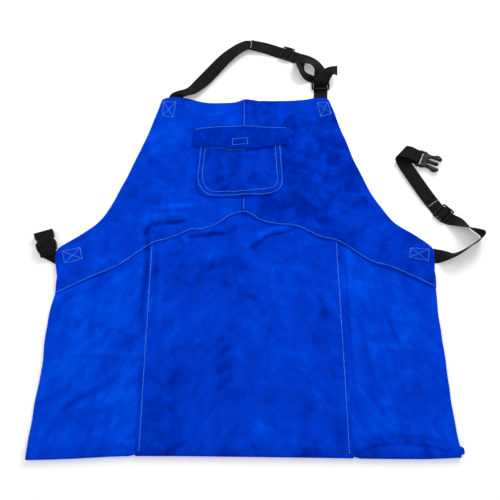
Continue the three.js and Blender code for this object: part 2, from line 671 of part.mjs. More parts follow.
function foldRing(column, isCentre) {
  const x = COLUMNS[column] + driftAt(COLUMNS[column]);
  const y = foldAxisY(x);
  const inner = isSideLap(column) && !isCentre ? INNER_RADIUS : FOLD_RADIUS;
  const outer = inner + LEATHER;
  return (step) => {
    const angle = (Math.PI * step) / FOLD_STEPS;
    const at = (radius) => [x, y - radius * Math.sin(angle), FOLD_AXIS_Z + radius * Math.cos(angle)];
    return { under: at(inner), over: at(outer) };
  };
}

function returnPair(column, share, isCentre) {
  const x = COLUMNS[column] + driftAt(COLUMNS[column]);
  const z = isSideLap(column) && !isCentre ? STACK : 0;
  const rolled = column === COLUMN.right ? ROLL_OUT * Math.sin(Math.PI * Math.min(1, share / ROLL_SHARE)) : 0;
  const y = foldAxisY(x) + TURN_UNDER * share;
  return { under: [x + rolled, y, z + LEATHER], over: [x + rolled, y, z] };
}

function skirtPanel(from, to, isCentre) {
  const columns = Array.from({ length: to - from + 1 }, (_, i) => from + i);
  const grid = [];
  for (let row = ROW.lapEnd; row < ROW.fold; row += 1) {
    grid.push(
      columns.map((column) => {
        const [x, y] = crossing(column, row);
        return level(x, y, skirtHeight(column, row, x, y, isCentre));
      }),
    );
  }
  for (let step = 0; step <= FOLD_STEPS; step += 1) {
    grid.push(columns.map((column) => foldRing(column, isCentre)(step)));
  }
  for (const share of RETURN_SHARES) {
    grid.push(columns.map((column) => returnPair(column, share, isCentre)));
  }
  return wallGeometry(grid);
}

// Pocket and flap, over the bib's centre seam

const POCKET_ROWS = [1, 0.85, 0.68, 0.52, 0.36, 0.21, 0.12, 0.06, 0.02, 0];
const POCKET_ROUND = 0.9;
const FLAP_ROWS = [0, 0.3, 0.54, 0.78, 1];
const POCKET_COLUMNS = [
  ...spread(POCKET_CENTRE - POCKET_WIDTH / 2, BIB_SEAM - RAMP, CELL),
  BIB_SEAM,
  BIB_LAP_END,
  ...spread(BIB_LAP_END + RAMP, POCKET_CENTRE + POCKET_WIDTH / 2, CELL),
];

function overBib(x) {
  return STACK * (x > BIB_SEAM - 1e-6 && x < BIB_LAP_END + 1e-6 ? 2 : 1);
}

// Outside the seam's own lines a column keeps its share of the way to the piece's edge.
function columnInPiece(x, reach) {
  const half = POCKET_WIDTH / 2;
  if (x < BIB_SEAM - RAMP) {
    const share = (BIB_SEAM - RAMP - x) / (BIB_SEAM - RAMP - POCKET_CENTRE + half);
    return mix(BIB_SEAM - RAMP, POCKET_CENTRE - reach, share);
  }
  if (x > BIB_LAP_END + RAMP) {
    const share = (x - BIB_LAP_END - RAMP) / (POCKET_CENTRE + half - BIB_LAP_END - RAMP);
    return mix(BIB_LAP_END + RAMP, POCKET_CENTRE + reach, share);
  }
  return x;
}

function pocketReach(height) {
  const short = Math.max(0, POCKET_CORNER - height);
  const corner = POCKET_CORNER - Math.sqrt(Math.max(0, POCKET_CORNER ** 2 - short ** 2));
  return POCKET_WIDTH / 2 - POCKET_ROUND * corner;
}

function pocketGeometry() {
  const grid = POCKET_ROWS.map((share) =>
    POCKET_COLUMNS.map((line) => {
      const height = share * POCKET_HEIGHT;
      const x = columnInPiece(line, pocketReach(height));
      const y = POCKET_BOTTOM + height;
      return level(x, y, raised(x, y) + overBib(line));
    }),
  );
  return wallGeometry(grid);
}

function flapGeometry() {
  const pocketTop = POCKET_BOTTOM + POCKET_HEIGHT;
  const grid = FLAP_ROWS.map((down) =>
    POCKET_COLUMNS.map((line) => {
      const x = columnInPiece(line, FLAP_WIDTH / 2);
      const bend = Math.cos((Math.PI / FLAP_WIDTH) * (x - POCKET_CENTRE));
      const droop = FLAP_DROOP * (1 - down) * (1 - bend) ** 2;
      const y = FLAP_TOP - down * (FLAP_HEIGHT + FLAP_BELLY * bend) - droop;
      const overPocket = y < pocketTop + RAMP ? STACK : 0;
      const open = FLAP_OPEN * bend * smooth((down - FLAP_OPEN_FROM) / (1 - FLAP_OPEN_FROM));
      return level(x, y, raised(x, y) + overBib(line) + overPocket + open);
    }),
  );
  return wallGeometry(grid);
}

// Webbing: a flat band swept through a table of sections

function smoothRows(table) {
  const keys = ['x', 'y', 'z', 'heading', 'roll', 'grow'];
  const rows = [];
  const at = (k) => table[Math.min(table.length - 1, Math.max(0, k))];
  table.forEach((row, i) => {
    const steps = i < table.length - 1 ? Math.max(1, row.steps) : 1;
    for (let step = 0; step < steps; step += 1) {
      const t = step / steps;
      const [p0, p1, p2, p3] = [at(i - 1), at(i), at(i + 1), at(i + 2)];
      const value = (key) =>
        0.5 *
        (2 * p1[key] +
          (p2[key] - p0[key]) * t +
          (2 * p0[key] - 5 * p1[key] + 4 * p2[key] - p3[key]) * t * t +
          (3 * p1[key] - p0[key] - 3 * p2[key] + p3[key]) * t * t * t);
      rows.push(Object.fromEntries(keys.map((key) => [key, value(key)])));
    }
  });
  return rows;
}

// Each row gives the band's middle line, raised where its width tilts, so z is its lower edge's.
function bandGeometry(rows) {
  const centres = rows.map((row) => new THREE.Vector3(row.x, row.y, row.z));
  const grid = rows.map((row, i) => {
    const ahead = centres[Math.min(rows.length - 1, i + 1)].clone().sub(centres[Math.max(0, i - 1)]);
    const heading = radians(row.heading);
    const roll = radians(row.roll);
    const across = new THREE.Vector3(
      Math.sin(heading) * Math.cos(roll),
      -Math.cos(heading) * Math.cos(roll),
      Math.sin(roll),
    );
    const normal = new THREE.Vector3().crossVectors(across, ahead).normalize();
    const half = (WEBBING_WIDTH / 2) * row.grow;
    const raised = new THREE.Vector3(0, 0, half * Math.abs(Math.sin(roll)));
    return [-half, half].map((offset) => {
      const edge = centres[i].clone().add(raised).addScaledVector(across, offset);
      const over = edge.clone().addScaledVector(normal, WEBBING / 2);
      const under = edge.clone().addScaledVector(normal, -WEBBING / 2);
      return { over: over.toArray(), under: under.toArray() };
    });
  });
  return wallGeometry(grid);
}

// Half a turn round a bar, on the side that the band is going to: from under it to over it,
// or the other way round when sign is -1. The width keeps one heading all the way.
function barTurn(bar, going, heading, radius, sign) {
  const forward = radians(going);
  return Array.from({ length: TURN_STEPS + 1 }, (_, i) => {
    const angle = (Math.PI * i) / TURN_STEPS;
    const reach = radius * Math.sin(angle);
    const z = bar.z - sign * radius * Math.cos(angle);
    return section(bar.x + Math.cos(forward) * reach, bar.y + Math.sin(forward) * reach, z, heading);
  });
}

function section(x, y, z, heading) {
  return { x, y, z, heading, roll: 0, grow: 1 };
}

// Straight through a slider: under its end bars and over its centre bar.
const SLIDER_CLEAR = 1;

function sliderRun(slider, z, lift, slack) {
  const { heading } = slider;
  const forward = radians(heading);
  const slotEnd = SLIDER_LENGTH / 2 - SLIDER_BAR - 0.7 * SLIDER_CLEAR;
  const barEnd = SLIDER_CENTRE_BAR / 2 + 0.3 * SLIDER_CLEAR;
  const reach = SLIDER_LENGTH / 2 + SLIDER_CLEAR;
  const half = [reach, slotEnd + 1.2 * SLIDER_CLEAR, slotEnd, mix(slotEnd, barEnd, 0.5), barEnd];
  const places = [...half.map((value) => -value), 0, ...half.reverse()];
  return places.map((along) => {
    const climb = clamp01((slotEnd - Math.abs(along)) / (slotEnd - barEnd));
    const height = z + lift * climb + slack * Math.sin(Math.PI * climb);
    return section(slider.x + Math.cos(forward) * along, slider.y + Math.sin(forward) * along, height, heading);
  });
}

function placed(table, origin, width, height) {
  return smoothRows(
    table.map((row) => ({
      ...row,
      x: origin.x + row.across * width,
      y: origin.y + row.up * height,
      z: row.z * WEBBING + FLOOR_GAP,
      grow: row.grow ?? 1,
    })),
  );
}

// Sliders and ring, each a frame round its slots, lying level

const WEB_LOW = FLOOR_GAP + WEBBING / 2;
const WEB_SECOND = WEB_LOW + WEBBING + WEBBING_GAP;

const NECK_SLIDER = {
  x: NECK_LEFT.x + 0.782 * NECK_SPAN,
  y: NECK_LEFT.y + 0.863 * NECK_REACH,
  z: WEB_SECOND + WEBBING / 2 + WEBBING_GAP,
  heading: -22,
};
const WAIST_SLIDER = {
  x: WAIST_RIGHT.x + 0.333 * WAIST_OUT,
  y: WAIST_RIGHT.y + 0.347 * WAIST_RISE,
  z: WEB_LOW + WEBBING / 2 + WEBBING_GAP,
  heading: 133,
};
const RING = {
  x: NECK_RIGHT.x + 0.08 * WEBBING_WIDTH,
  y: NECK_RIGHT.y + 0.235 * NECK_REACH,
  z: WEB_LOW + WEBBING + RING_BAR / 2 + WEBBING_GAP,
  heading: 90,
};
const RING_TOP_BAR = { x: RING.x, y: RING.y + RING_LENGTH / 2 - RING_BAR / 2, z: RING.z };

// How wide a band turns round a bar of a square section, clear of its corners.
function wrapRadius(width, height) {
  return (Math.hypot(width / 2, height / 2) + WEBBING_GAP / 2) / Math.cos(Math.PI / (2 * TURN_STEPS)) + WEBBING / 2;
}

function roundedRectangle(Path, width, height, corner, x = 0) {
  const [w, h] = [width / 2, height / 2];
  const path = new Path();
  path.moveTo(x - w + corner, -h);
  path.lineTo(x + w - corner, -h);
  path.absarc(x + w - corner, -h + corner, corner, -Math.PI / 2, 0, false);
  path.lineTo(x + w, h - corner);
  path.absarc(x + w - corner, h - corner, corner, 0, Math.PI / 2, false);
  path.lineTo(x - w + corner, h);
  path.absarc(x - w + corner, h - corner, corner, Math.PI / 2, Math.PI, false);
  path.lineTo(x - w, -h + corner);
  path.absarc(x - w + corner, -h + corner, corner, Math.PI, 1.5 * Math.PI, false);
  return path;
}

function extruded(shape, depth) {
  return new THREE.ExtrudeGeometry(shape, { depth, bevelEnabled: false, curveSegments: 4 });
}

function sliderGeometry() {
  const shape = roundedRectangle(THREE.Shape, SLIDER_LENGTH, SLIDER_WIDTH, HARDWARE_CORNER);
  const slot = (SLIDER_LENGTH - SLIDER_CENTRE_BAR) / 2 - SLIDER_BAR;
  const middle = (SLIDER_CENTRE_BAR + slot) / 2;
  shape.holes = [-middle, middle].map((x) => roundedRectangle(THREE.Path, slot, SLOT_WIDTH, SLOT_CORNER, x));
  return extruded(shape, SLIDER_THICKNESS);
}

function ringGeometry() {
  const shape = roundedRectangle(THREE.Shape, RING_LENGTH, RING_WIDTH, HARDWARE_CORNER);
  shape.holes = [roundedRectangle(THREE.Path, RING_LENGTH - 2 * RING_BAR, SLOT_WIDTH, SLOT_CORNER)];
  return extruded(shape, RING_BAR).translate(0, 0, -RING_BAR / 2);
}

// Side-release buckle, both halves with their strap's bar towards -X

function mirroredShape(outline, length) {
  const side = outline.map((row) => new THREE.Vector2(row.along * length, row.half * BUCKLE_WIDTH));
  const other = side.map((point) => new THREE.Vector2(point.x, -point.y)).reverse();
  return new THREE.Shape([...other, ...side]);
}

function maleBuckleGeometry() {
  const shape = mirroredShape(MALE_OUTLINE, MALE_LENGTH);
  const slotX = MALE_BAR + BUCKLE_SLOT / 2;
  shape.holes = [roundedRectangle(THREE.Path, BUCKLE_SLOT, SLOT_WIDTH, SLOT_CORNER, slotX)];
  return extruded(shape, MALE_THICKNESS).translate(0, 0, -MALE_THICKNESS / 2);
}

const wasm = await Module();
wasm.setup();

function toSolid(geometry) {
  const bare = geometry.clone();
  bare.deleteAttribute('normal');
  bare.deleteAttribute('uv');
  const merged = mergeVertices(bare, 1e-4);
  const mesh = new wasm.Mesh({
    numProp: 3,
    vertProperties: new Float32Array(merged.attributes.position.array),
    triVerts: new Uint32Array(merged.index.array),
  });
  return new wasm.Manifold(mesh);
}

function toGeometry(solid) {
  const mesh = solid.getMesh();
  const geometry = new THREE.BufferGeometry();
  geometry.setAttribute('position', new THREE.BufferAttribute(mesh.vertProperties, 3));
  geometry.setIndex(new THREE.BufferAttribute(mesh.triVerts, 1));
  return geometry;
}

function block(length, width, height, x, z = 0) {
  return toSolid(new THREE.BoxGeometry(length, width, height).translate(x, 0, z));
}

// The socket is open at the mouth and at both sides of the neck, where the prongs' barbs catch.
function femaleBuckleGeometry() {
  const body = extruded(mirroredShape(FEMALE_OUTLINE, FEMALE_LENGTH), BUCKLE_THICKNESS);
  const barBack = (BUCKLE_THICKNESS - FEMALE_BAR_HEIGHT) / 2;
  const barZ = (FEMALE_BAR_HEIGHT + barBack) / 2;
  const socketX = FEMALE_LENGTH - SOCKET_DEPTH / 2 + CUT_MARGIN;
  const barLength = 2 * (FEMALE_BAR + CUT_MARGIN / 10);
  const solid = toSolid(body.translate(0, 0, -BUCKLE_THICKNESS / 2))
    .subtract(block(SOCKET_DEPTH + 2 * CUT_MARGIN, SOCKET_WIDTH, SOCKET_HEIGHT, socketX))
    .subtract(block(BUCKLE_SLOT, SLOT_WIDTH, 2 * BUCKLE_THICKNESS, FEMALE_BAR + BUCKLE_SLOT / 2))
    .subtract(block(barLength, SLOT_WIDTH, barBack, 0, barZ))
    .subtract(block(barLength, SLOT_WIDTH, barBack, 0, -barZ));
  return toGeometry(solid);
}

// Straps

const NECK_LIFT = NECK_SLIDER.z + SLIDER_THICKNESS + WEBBING_GAP + WEBBING / 2 - WEB_LOW;
const WAIST_LIFT = WAIST_SLIDER.z + SLIDER_THICKNESS + WEBBING_GAP + WEBBING / 2 - WEB_LOW;
const TAIL_SLACK = 0.9;

function neckStrapGeometry() {
  const onNeck = (table) => placed(table, NECK_LEFT, NECK_SPAN, NECK_REACH);
  return bandGeometry([
    ...onNeck(NECK_LEG),
    ...sliderRun(NECK_SLIDER, WEB_LOW, NECK_LIFT, 0),
    ...onNeck(NECK_INNER),
    ...barTurn(RING_TOP_BAR, -90, -90, wrapRadius(RING_BAR, RING_BAR), 1),
    ...onNeck(NECK_OUTER),
    ...sliderRun(NECK_SLIDER, WEB_SECOND, NECK_LIFT, TAIL_SLACK).reverse(),
    ...onNeck(NECK_TAIL),
  ]);
}

function neckTabGeometry() {
  return bandGeometry(placed(NECK_TAB, NECK_RIGHT, WEBBING_WIDTH, NECK_REACH));
}

// Each half of the waist's buckle, placed by the far side of the bar that its webbing turns round.
const MALE_BUCKLE = {
  x: WAIST_RIGHT.x - 0.035 * WAIST_OUT,
  y: WAIST_RIGHT.y + 0.926 * WAIST_RISE,
  z: WEB_LOW + wrapRadius(MALE_BAR, MALE_THICKNESS) + 0.4 * WEBBING_GAP,
  heading: -24,
};
const FEMALE_BUCKLE = {
  x: WAIST_LEFT.x - 0.84 * WEBBING_WIDTH,
  y: WAIST_LEFT.y + 0.56 * WEBBING_WIDTH,
  z: BUCKLE_THICKNESS / 2 + WEBBING_GAP,
  heading: 108,
};

function buckleBar(buckle, inset) {
  const turn = radians(buckle.heading);
  return { x: buckle.x + inset * Math.cos(turn), y: buckle.y + inset * Math.sin(turn), z: buckle.z };
}

function waistStrapGeometry() {
  const onWaist = (table) => placed(table, WAIST_RIGHT, WAIST_OUT, WAIST_RISE);
  const bar = buckleBar(MALE_BUCKLE, MALE_BAR / 2);
  const wrap = wrapRadius(MALE_BAR, MALE_THICKNESS);
  return bandGeometry([
    ...onWaist(WAIST_SIDE),
    ...sliderRun(WAIST_SLIDER, WEB_LOW, WAIST_LIFT, 0),
    ...onWaist(WAIST_DIAGONAL),
    ...barTurn(bar, MALE_BUCKLE.heading, MALE_BUCKLE.heading + 180, wrap, -1),
    ...onWaist(WAIST_END),
  ]);
}

function buckleTabGeometry() {
  const onTab = (table) => placed(table, WAIST_LEFT, WEBBING_WIDTH, WEBBING_WIDTH);
  const bar = buckleBar(FEMALE_BUCKLE, FEMALE_BAR / 2);
  const wrap = wrapRadius(FEMALE_BAR, FEMALE_BAR_HEIGHT);
  return bandGeometry([
    ...onTab(BUCKLE_TAB),
    ...barTurn(bar, FEMALE_BUCKLE.heading, FEMALE_BUCKLE.heading + 180, wrap, 1),
    ...onTab(BUCKLE_TAB_END),
  ]);
}

// Finishes

const suede = new THREE.MeshStandardMaterial({ color: 0x0a3fc4, roughness: 0.95, metalness: 0 });
const webbing = new THREE.MeshStandardMaterial({ color: 0x17161a, roughness: 0.85, metalness: 0 });
const plastic = new THREE.MeshStandardMaterial({ color: 0x111114, roughness: 0.45, metalness: 0 });

// The assembly

const apron = new THREE.Group();

function addPiece(name, geometry, material, place) {
  const piece = new THREE.Mesh(geometry, material);
  piece.name = name;
  if (place) {
    piece.position.set(place.x, place.y, place.z);
    piece.rotation.z = radians(place.heading);
  }
  apron.add(piece);
}

const bibRightLap = [COLUMN.bibSeam, COLUMN.bibLap];
addPiece('skirt_left', skirtPanel(COLUMN.left, COLUMN.leftLap, false), suede);
addPiece('skirt_center', skirtPanel(COLUMN.leftSeam, COLUMN.rightSeam, true), suede);
addPiece('skirt_right', skirtPanel(COLUMN.rightLap, COLUMN.right, false), suede);
addPiece('bib_left', bibPanel(COLUMN.left, COLUMN.bibLap, []), suede);
addPiece('bib_right', bibPanel(COLUMN.bibSeam, COLUMN.right, bibRightLap), suede);
addPiece('pocket', pocketGeometry(), suede);
addPiece('pocket_flap', flapGeometry(), suede);
addPiece('neck_strap', neckStrapGeometry(), webbing);
addPiece('neck_strap_tab', neckTabGeometry(), webbing);
addPiece('neck_slider', sliderGeometry(), plastic, NECK_SLIDER);
addPiece('neck_ring', ringGeometry(), plastic, RING);
addPiece('waist_strap', waistStrapGeometry(), webbing);
addPiece('waist_slider', sliderGeometry(), plastic, WAIST_SLIDER);
addPiece('buckle_male', maleBuckleGeometry(), plastic, MALE_BUCKLE);
addPiece('buckle_tab', buckleTabGeometry(), webbing);
addPiece('buckle_female', femaleBuckleGeometry(), plastic, FEMALE_BUCKLE);

// The whole is set on its own footprint's middle, standing on the table.
apron.updateMatrixWorld(true);
const footprint = new THREE.Box3().setFromObject(apron, true);
const middle = footprint.getCenter(new THREE.Vector3());
apron.position.set(-middle.x, -middle.y, -footprint.min.z);

export default apron;
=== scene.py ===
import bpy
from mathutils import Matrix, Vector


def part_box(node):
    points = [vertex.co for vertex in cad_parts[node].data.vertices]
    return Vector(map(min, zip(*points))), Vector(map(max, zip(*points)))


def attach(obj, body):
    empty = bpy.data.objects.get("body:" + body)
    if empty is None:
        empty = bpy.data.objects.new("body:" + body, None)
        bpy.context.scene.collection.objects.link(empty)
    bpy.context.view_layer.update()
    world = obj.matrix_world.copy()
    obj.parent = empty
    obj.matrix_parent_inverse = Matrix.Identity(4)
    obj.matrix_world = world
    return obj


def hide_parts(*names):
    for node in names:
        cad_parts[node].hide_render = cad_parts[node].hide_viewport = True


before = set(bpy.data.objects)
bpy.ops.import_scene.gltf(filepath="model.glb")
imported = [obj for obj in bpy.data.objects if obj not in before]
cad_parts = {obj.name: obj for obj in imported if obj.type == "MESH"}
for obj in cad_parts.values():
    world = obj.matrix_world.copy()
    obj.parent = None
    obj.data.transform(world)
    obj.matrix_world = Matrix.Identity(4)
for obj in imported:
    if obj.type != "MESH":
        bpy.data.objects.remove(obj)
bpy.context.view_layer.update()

import math

import bpy
import numpy as np
from bpy.props import FloatProperty, FloatVectorProperty, PointerProperty
from mathutils import Vector
from mathutils.bvhtree import BVHTree

bl_info = {
    "name": "Suede Work Apron",
    "version": (1, 0, 0),
    "blender": (4, 5, 0),
    "location": "View3D > Sidebar > Apron",
    "description": "Builds a suede work apron laid flat, with webbing straps and their buckles",
    "category": "Add Mesh",
}

MM = 0.001

# Leather sizes in millimetres, measured from the centre line and the waist corners
LEATHER = 1.4
LAYER_GAP = 0.6
STACK = LEATHER + LAYER_GAP
HALF_WIDTH = 300
HALF_TOP = 151
BIB_HEIGHT = 307
SKIRT_DROP = 325
TURN_UNDER = 155
CHEVRON_APEX = 72
CHEVRON_DEPTH = 147
LEFT_SEAM = -152
RIGHT_SEAM = 158
SEAM_LAP = 14
CHEVRON_LAP = 14
BIB_SEAM = -1
BIB_EDGE_DROP = 5
STITCH_INSET = 2.5
LEFT_STITCH_INSET = 5.2
RIGHT_STITCH_INSET = 5.6
BIB_LAP_END = 18
RAMP = 10
LAP_REACH = CHEVRON_LAP + RAMP
EDGE_REACH = 16
INNER_RADIUS = LAYER_GAP / 2
FOLD_RADIUS = INNER_RADIUS + STACK
FOLD_AXIS_Z = LEATHER + FOLD_RADIUS
FOLD_REACH = 48
FOLD_CALM = 14
CALM_FADE = 50
CENTRE_X = 6
DRAPE = 46

POCKET_CENTRE = -5
POCKET_HALF = 74
POCKET_BOTTOM = 98
POCKET_HEIGHT = 114
POCKET_CORNER = 26
POCKET_REST = 0.25
FLAP_HALF = 83
FLAP_TOP = 243.5
FLAP_HEIGHT = 42
FLAP_REST = 0.35

# Webbing and hardware sizes in millimetres
WEBBING_WIDTH = 25
WEBBING = 1.4
WEBBING_GAP = 0.5
FLOOR_GAP = 0.3
NECK_REACH = 120
WAIST_OUT = 85
WAIST_RISE = 190
SLOT_WIDTH = WEBBING_WIDTH + 1.4
SLIDER_LENGTH = 23
SLIDER_WIDTH = SLOT_WIDTH + 4.6
SLIDER_THICKNESS = 2.4
SLIDER_BAR = 2.5
SLIDER_CENTRE_BAR = 3.6
RING_LENGTH = 20
RING_WIDTH = SLOT_WIDTH + 6.6
RING_BAR = 3.2
BUCKLE_WIDTH = SLOT_WIDTH + 6.6
BUCKLE_THICKNESS = 9.6
BUCKLE_SLOT = 5.2
SOCKET_WIDTH = BUCKLE_WIDTH - 7
SOCKET_HEIGHT = 5.8
SOCKET_DEPTH = 20
MALE_LENGTH = 41
MALE_THICKNESS = 4.8
MALE_BAR = 3
FEMALE_LENGTH = 36
FEMALE_BAR = 3.4
FEMALE_BAR_HEIGHT = 4

# The camera that took the photo: its tilt over the table and its distance from the table's centre
CAMERA_TILT = 64
CAMERA_DISTANCE = 1054.8
CAMERA_LENS = 46.82
VIEW_CENTRE_X = 12


def table(columns, rows):
    """Listed rows of numbers under named columns."""
    return {name: np.array(column, float) for name, column in zip(columns.split(), zip(*rows))}


# The chevron seam: across is a share of half the width, fall of the chevron's depth.
CHEVRON = table("across fall", [
    (-0.977, 1.0), (-0.82, 0.823), (-0.667, 0.667), (-0.5, 0.415), (-0.367, 0.306), (-0.283, 0.224),
    (-0.223, 0.224), (-0.15, 0.163), (-0.063, 0.034), (0, 0), (0.04, 0.027), (0.093, 0.102),
    (0.2, 0.163), (0.303, 0.19), (0.423, 0.313), (0.543, 0.401), (0.683, 0.605), (0.807, 0.7),
    (1.017, 0.918),
])

# The bib's sides: rise is the share of the panel's rows, left and right the share of the way
# out from the top corner to the waist, height a share of the bib's height.
BIB_SIDES = table("rise left right height", [
    (0.06, 1.0, 1.054, -0.06), (0.1, 1.0, 1.06, -0.01), (0.13, 0.946, 1.02, 0.022),
    (0.216, 0.765, 0.872, 0.085), (0.3, 0.604, 0.691, 0.156), (0.37, 0.497, 0.577, 0.231),
    (0.464, 0.403, 0.443, 0.342), (0.595, 0.282, 0.315, 0.502), (0.73, 0.168, 0.221, 0.664),
    (0.866, 0.06, 0.114, 0.834), (1, -0.027, 0.027, 0.99),
])

# The neck edge: across is a share of half the top width, sag of the bib's height.
BIB_TOP = table("across sag", [
    (-0.973, 0.004), (-0.9, -0.009), (-0.7, -0.003), (-0.54, 0.02), (-0.39, 0.032), (-0.11, 0.029),
    (0.0, 0.01), (0.14, 0.016), (0.72, 0.019), (0.85, 0.007), (0.99, 0.007), (1.027, 0.016),
])

# The bottom fold: across is a share of half the width, dip of the skirt's drop.
BOTTOM_FOLD = table("across dip", [
    (-1.0, 0.01), (-0.83, 0.006), (-0.55, -0.006), (-0.24, -0.006), (0.32, 0), (0.83, 0.006), (1.03, 0),
])

# The skirt's side edges: down is the share of the way to the fold, left and right of half the width.
SKIRT_SIDES = table("down left right", [
    (0, 0, 0), (0.1, 0.01, -0.005), (0.35, 0.008, -0.009), (0.5, 0.001, -0.011),
    (0.65, 0.004, -0.009), (0.9, 0.004, -0.004), (1, 0, 0),
])

# Swells of the leather: x, along and across are shares of half the width, y of the bib's height
# above the waist and of the skirt's drop below it, height in leathers.
SWELLS = table("x y along across bearing height", [
    (-0.4, 0.215, 0.2, 0.055, 12, 5.5), (-0.53, 0.16, 0.07, 0.05, 60, 3),
    (0.17, 0.09, 0.14, 0.035, 24, 3), (0.04, 0.01, 0.06, 0.04, 55, 2),
    (-0.19, 0.115, 0.1, 0.03, -6, 1.6), (0.43, -0.31, 0.08, 0.04, 60, 1.8),
    (-0.72, -0.35, 0.3, 0.2, 20, 3), (0.06, -0.3, 0.38, 0.25, 80, 3),
    (0.77, -0.42, 0.3, 0.18, -30, 3), (0.42, 0.44, 0.28, 0.14, 105, 3),
    (-0.45, 0.6, 0.24, 0.12, 75, 2.6), (-0.1, 0.9, 0.26, 0.09, 0, 1.4),
])

# Sharper creases, in millimetres: depth of the valley, its width, the height of the roll beside it
# and the line that it follows. The roll lies on the left of the line's direction.
CREASES = [
    (2.8, 6, 2.0, [(-162, 21), (-157, 37), (-148, 45), (-130, 48), (-110, 49), (-87, 53)]),
    (0.9, 6, 0.8, [(-144, 62), (-120, 70), (-86, 72), (-60, 78)]),
    (1.2, 4.5, 1.2, [(-106, 25), (-102, 16), (-92, 8)]),
    (2.8, 5, 1.0, [(-92, 23), (-70, 27), (-48, 29), (-26, 29)]),
    (2.2, 5, 1.6, [(4, -6), (16, 2), (26, 11), (36, 20), (49, 26), (65, 30), (90, 37)]),
    (0.6, 4, 0.5, [(86, 3), (110, 5), (140, 6)]),
    (0.6, 8, 0.7, [(112, -82), (120, -86), (126, -97), (136, -122)]),
    (1.1, 6, 0.4, [(-262, -262), (-249, -250), (-222, -233), (-186, -210)]),
    (0.35, 3, 0.3, [(-84, 234), (-76, 222), (-73, 208)]),
    (0.4, 4, 0.4, [(176, -168), (240, -172), (290, -175)]),
    (0.35, 6, 0.4, [(-290, -178), (-200, -181), (-120, -184)]),
    (3.0, 6, 0.3, [(-157, 40), (-154, 10), (-155, -60), (-156, -140)]),
    (1.0, 4.5, 0.5, [(163, 24), (164, -60), (163, -160), (165, -250)]),
    (0.6, 5, 0.5, [(-140, 24), (-136, -50), (-138, -130)]),
    (1.6, 6, -1.4, [(158, -318), (188, -309), (223, -305), (258, -308), (296, -318)]),
    (0.9, 3.5, 0.8, [(-178, -313), (-170, -307), (-160, -311), (-150, -305)]),
    (0.7, 6, 0.6, [(185, -160), (193, -203), (203, -240)]),
    (0.7, 6, 0.6, [(219, -100), (228, -138), (244, -182)]),
    (0.6, 6, 0.5, [(-246, 36), (-262, 20), (-280, 10)]),
    (0.7, 8, 0.6, [(190, 120), (206, 92), (226, 66)]),
    (0.6, 7, 0.6, [(-176, 226), (-168, 206), (-172, 180)]),
    (0.35, 9, 0.3, [(-120, -34), (-90, -26), (-40, -30), (10, -24)]),
]

# Broad patches painted darker or lighter: partly the nap's own tone, partly painted shade along folds,
# dimples and under the chevron seam. The middle and half sizes in millimetres, the bearing of the longer one
# in degrees, and the tone.
TONES = table("x y along across bearing tone", [
    (-118, -262, 62, 34, 90, -1.1), (-30, -242, 95, 22, 0, -0.45), (127, -108, 28, 9, 85, -0.9),
    (108, -215, 30, 18, 0, -0.5), (272, -170, 36, 18, 85, -0.6), (-26, -152, 46, 30, 20, -0.4),
    (-30, -28, 62, 10, 3, -0.8), (-127, -35, 24, 14, 70, -0.7), (-26, 33, 52, 9, 8, -0.9),
    (75, -150, 42, 30, 70, 0.5), (190, -45, 52, 22, 80, 0.6), (255, -120, 42, 18, 80, 0.5),
    (-245, -135, 64, 40, 70, 0.5), (-262, -235, 30, 24, 0, 0.35), (-162, -250, 52, 12, 88, 0.55),
    (-205, -275, 16, 14, 0, -0.5), (-122, 246, 26, 18, 70, 0.3), (-125, 118, 32, 30, 0, 0.35),
    (-190, 95, 28, 13, 60, -0.5), (140, 215, 52, 30, 100, -0.55), (78, 168, 26, 24, 0, -0.6),
    (62, 84, 72, 18, -15, -0.7), (150, 140, 52, 38, 100, -0.3),
    (222, 30, 46, 24, -30, 0.9), (268, 0, 30, 24, 0, 0.7),
    (20, -96, 40, 16, 30, 0.35), (-70, -96, 30, 14, 10, 0.3), (36, -250, 34, 40, 0, 0.35),
    (-60, 270, 50, 18, 0, 0.25), (-235, 2, 44, 12, 30, -0.25), (-78, 92, 36, 20, 20, 0.35),
])

# Straps: each row is one section of the band. Heading is the way the band's width is square to
# and roll tilts the width, in degrees. Grow widens a section at a slanting fold. Heights are in
# webbing thicknesses. Steps are the sections up to the next row.
STRAP_COLUMNS = "across up z heading roll grow steps"
NECK_LEG = table(STRAP_COLUMNS, [
    (-0.03, -0.36, 0.5, 84, 0, 1, 2), (0.0, -0.14, 0.5, 84, 0, 1, 1), (0.01, 0.04, 0.5, 80, 0, 1, 2),
    (0.05, 0.065, 2.0, 44, 16, 1, 3), (0.12, 0.11, 3.6, 42, 16, 1.04, 3),
    (0.206, 0.335, 4.6, 53, 2, 1.08, 4),
    (0.335, 0.70, 6.4, 50, 4, 1.06, 3), (0.42, 0.9, 5.8, 43, 6, 1, 3), (0.478, 1.005, 4.2, 34, 6, 1, 2),
    (0.522, 1.035, 2.8, -4, 6, 1, 3), (0.637, 0.985, 0.8, -14, 3, 1, 2), (0.71, 0.925, 0.5, -22, 0, 1, 1),
])
NECK_INNER = table(STRAP_COLUMNS, [
    (0.852, 0.79, 0.5, -26, 0, 1, 1), (0.872, 0.72, 0.5, -56, 18, 1, 2),
    (0.868, 0.6, 0.6, -82, 44, 1, 2), (0.882, 0.49, 0.6, -66, 46, 1, 2),
    (0.918, 0.4, 0.6, -50, 24, 1, 2), (0.975, 0.36, 0.6, -70, 0, 1, 1),
])
NECK_OUTER = table(STRAP_COLUMNS, [
    (1.01, 0.37, 6, -88, 4, 1, 2), (1.006, 0.48, 6.2, -76, 24, 1, 2), (0.968, 0.61, 6.8, -52, 22, 1, 2),
    (0.915, 0.705, 5.6, -38, 8, 1, 2), (0.858, 0.785, 2.3, -24, 0, 1, 1),
])
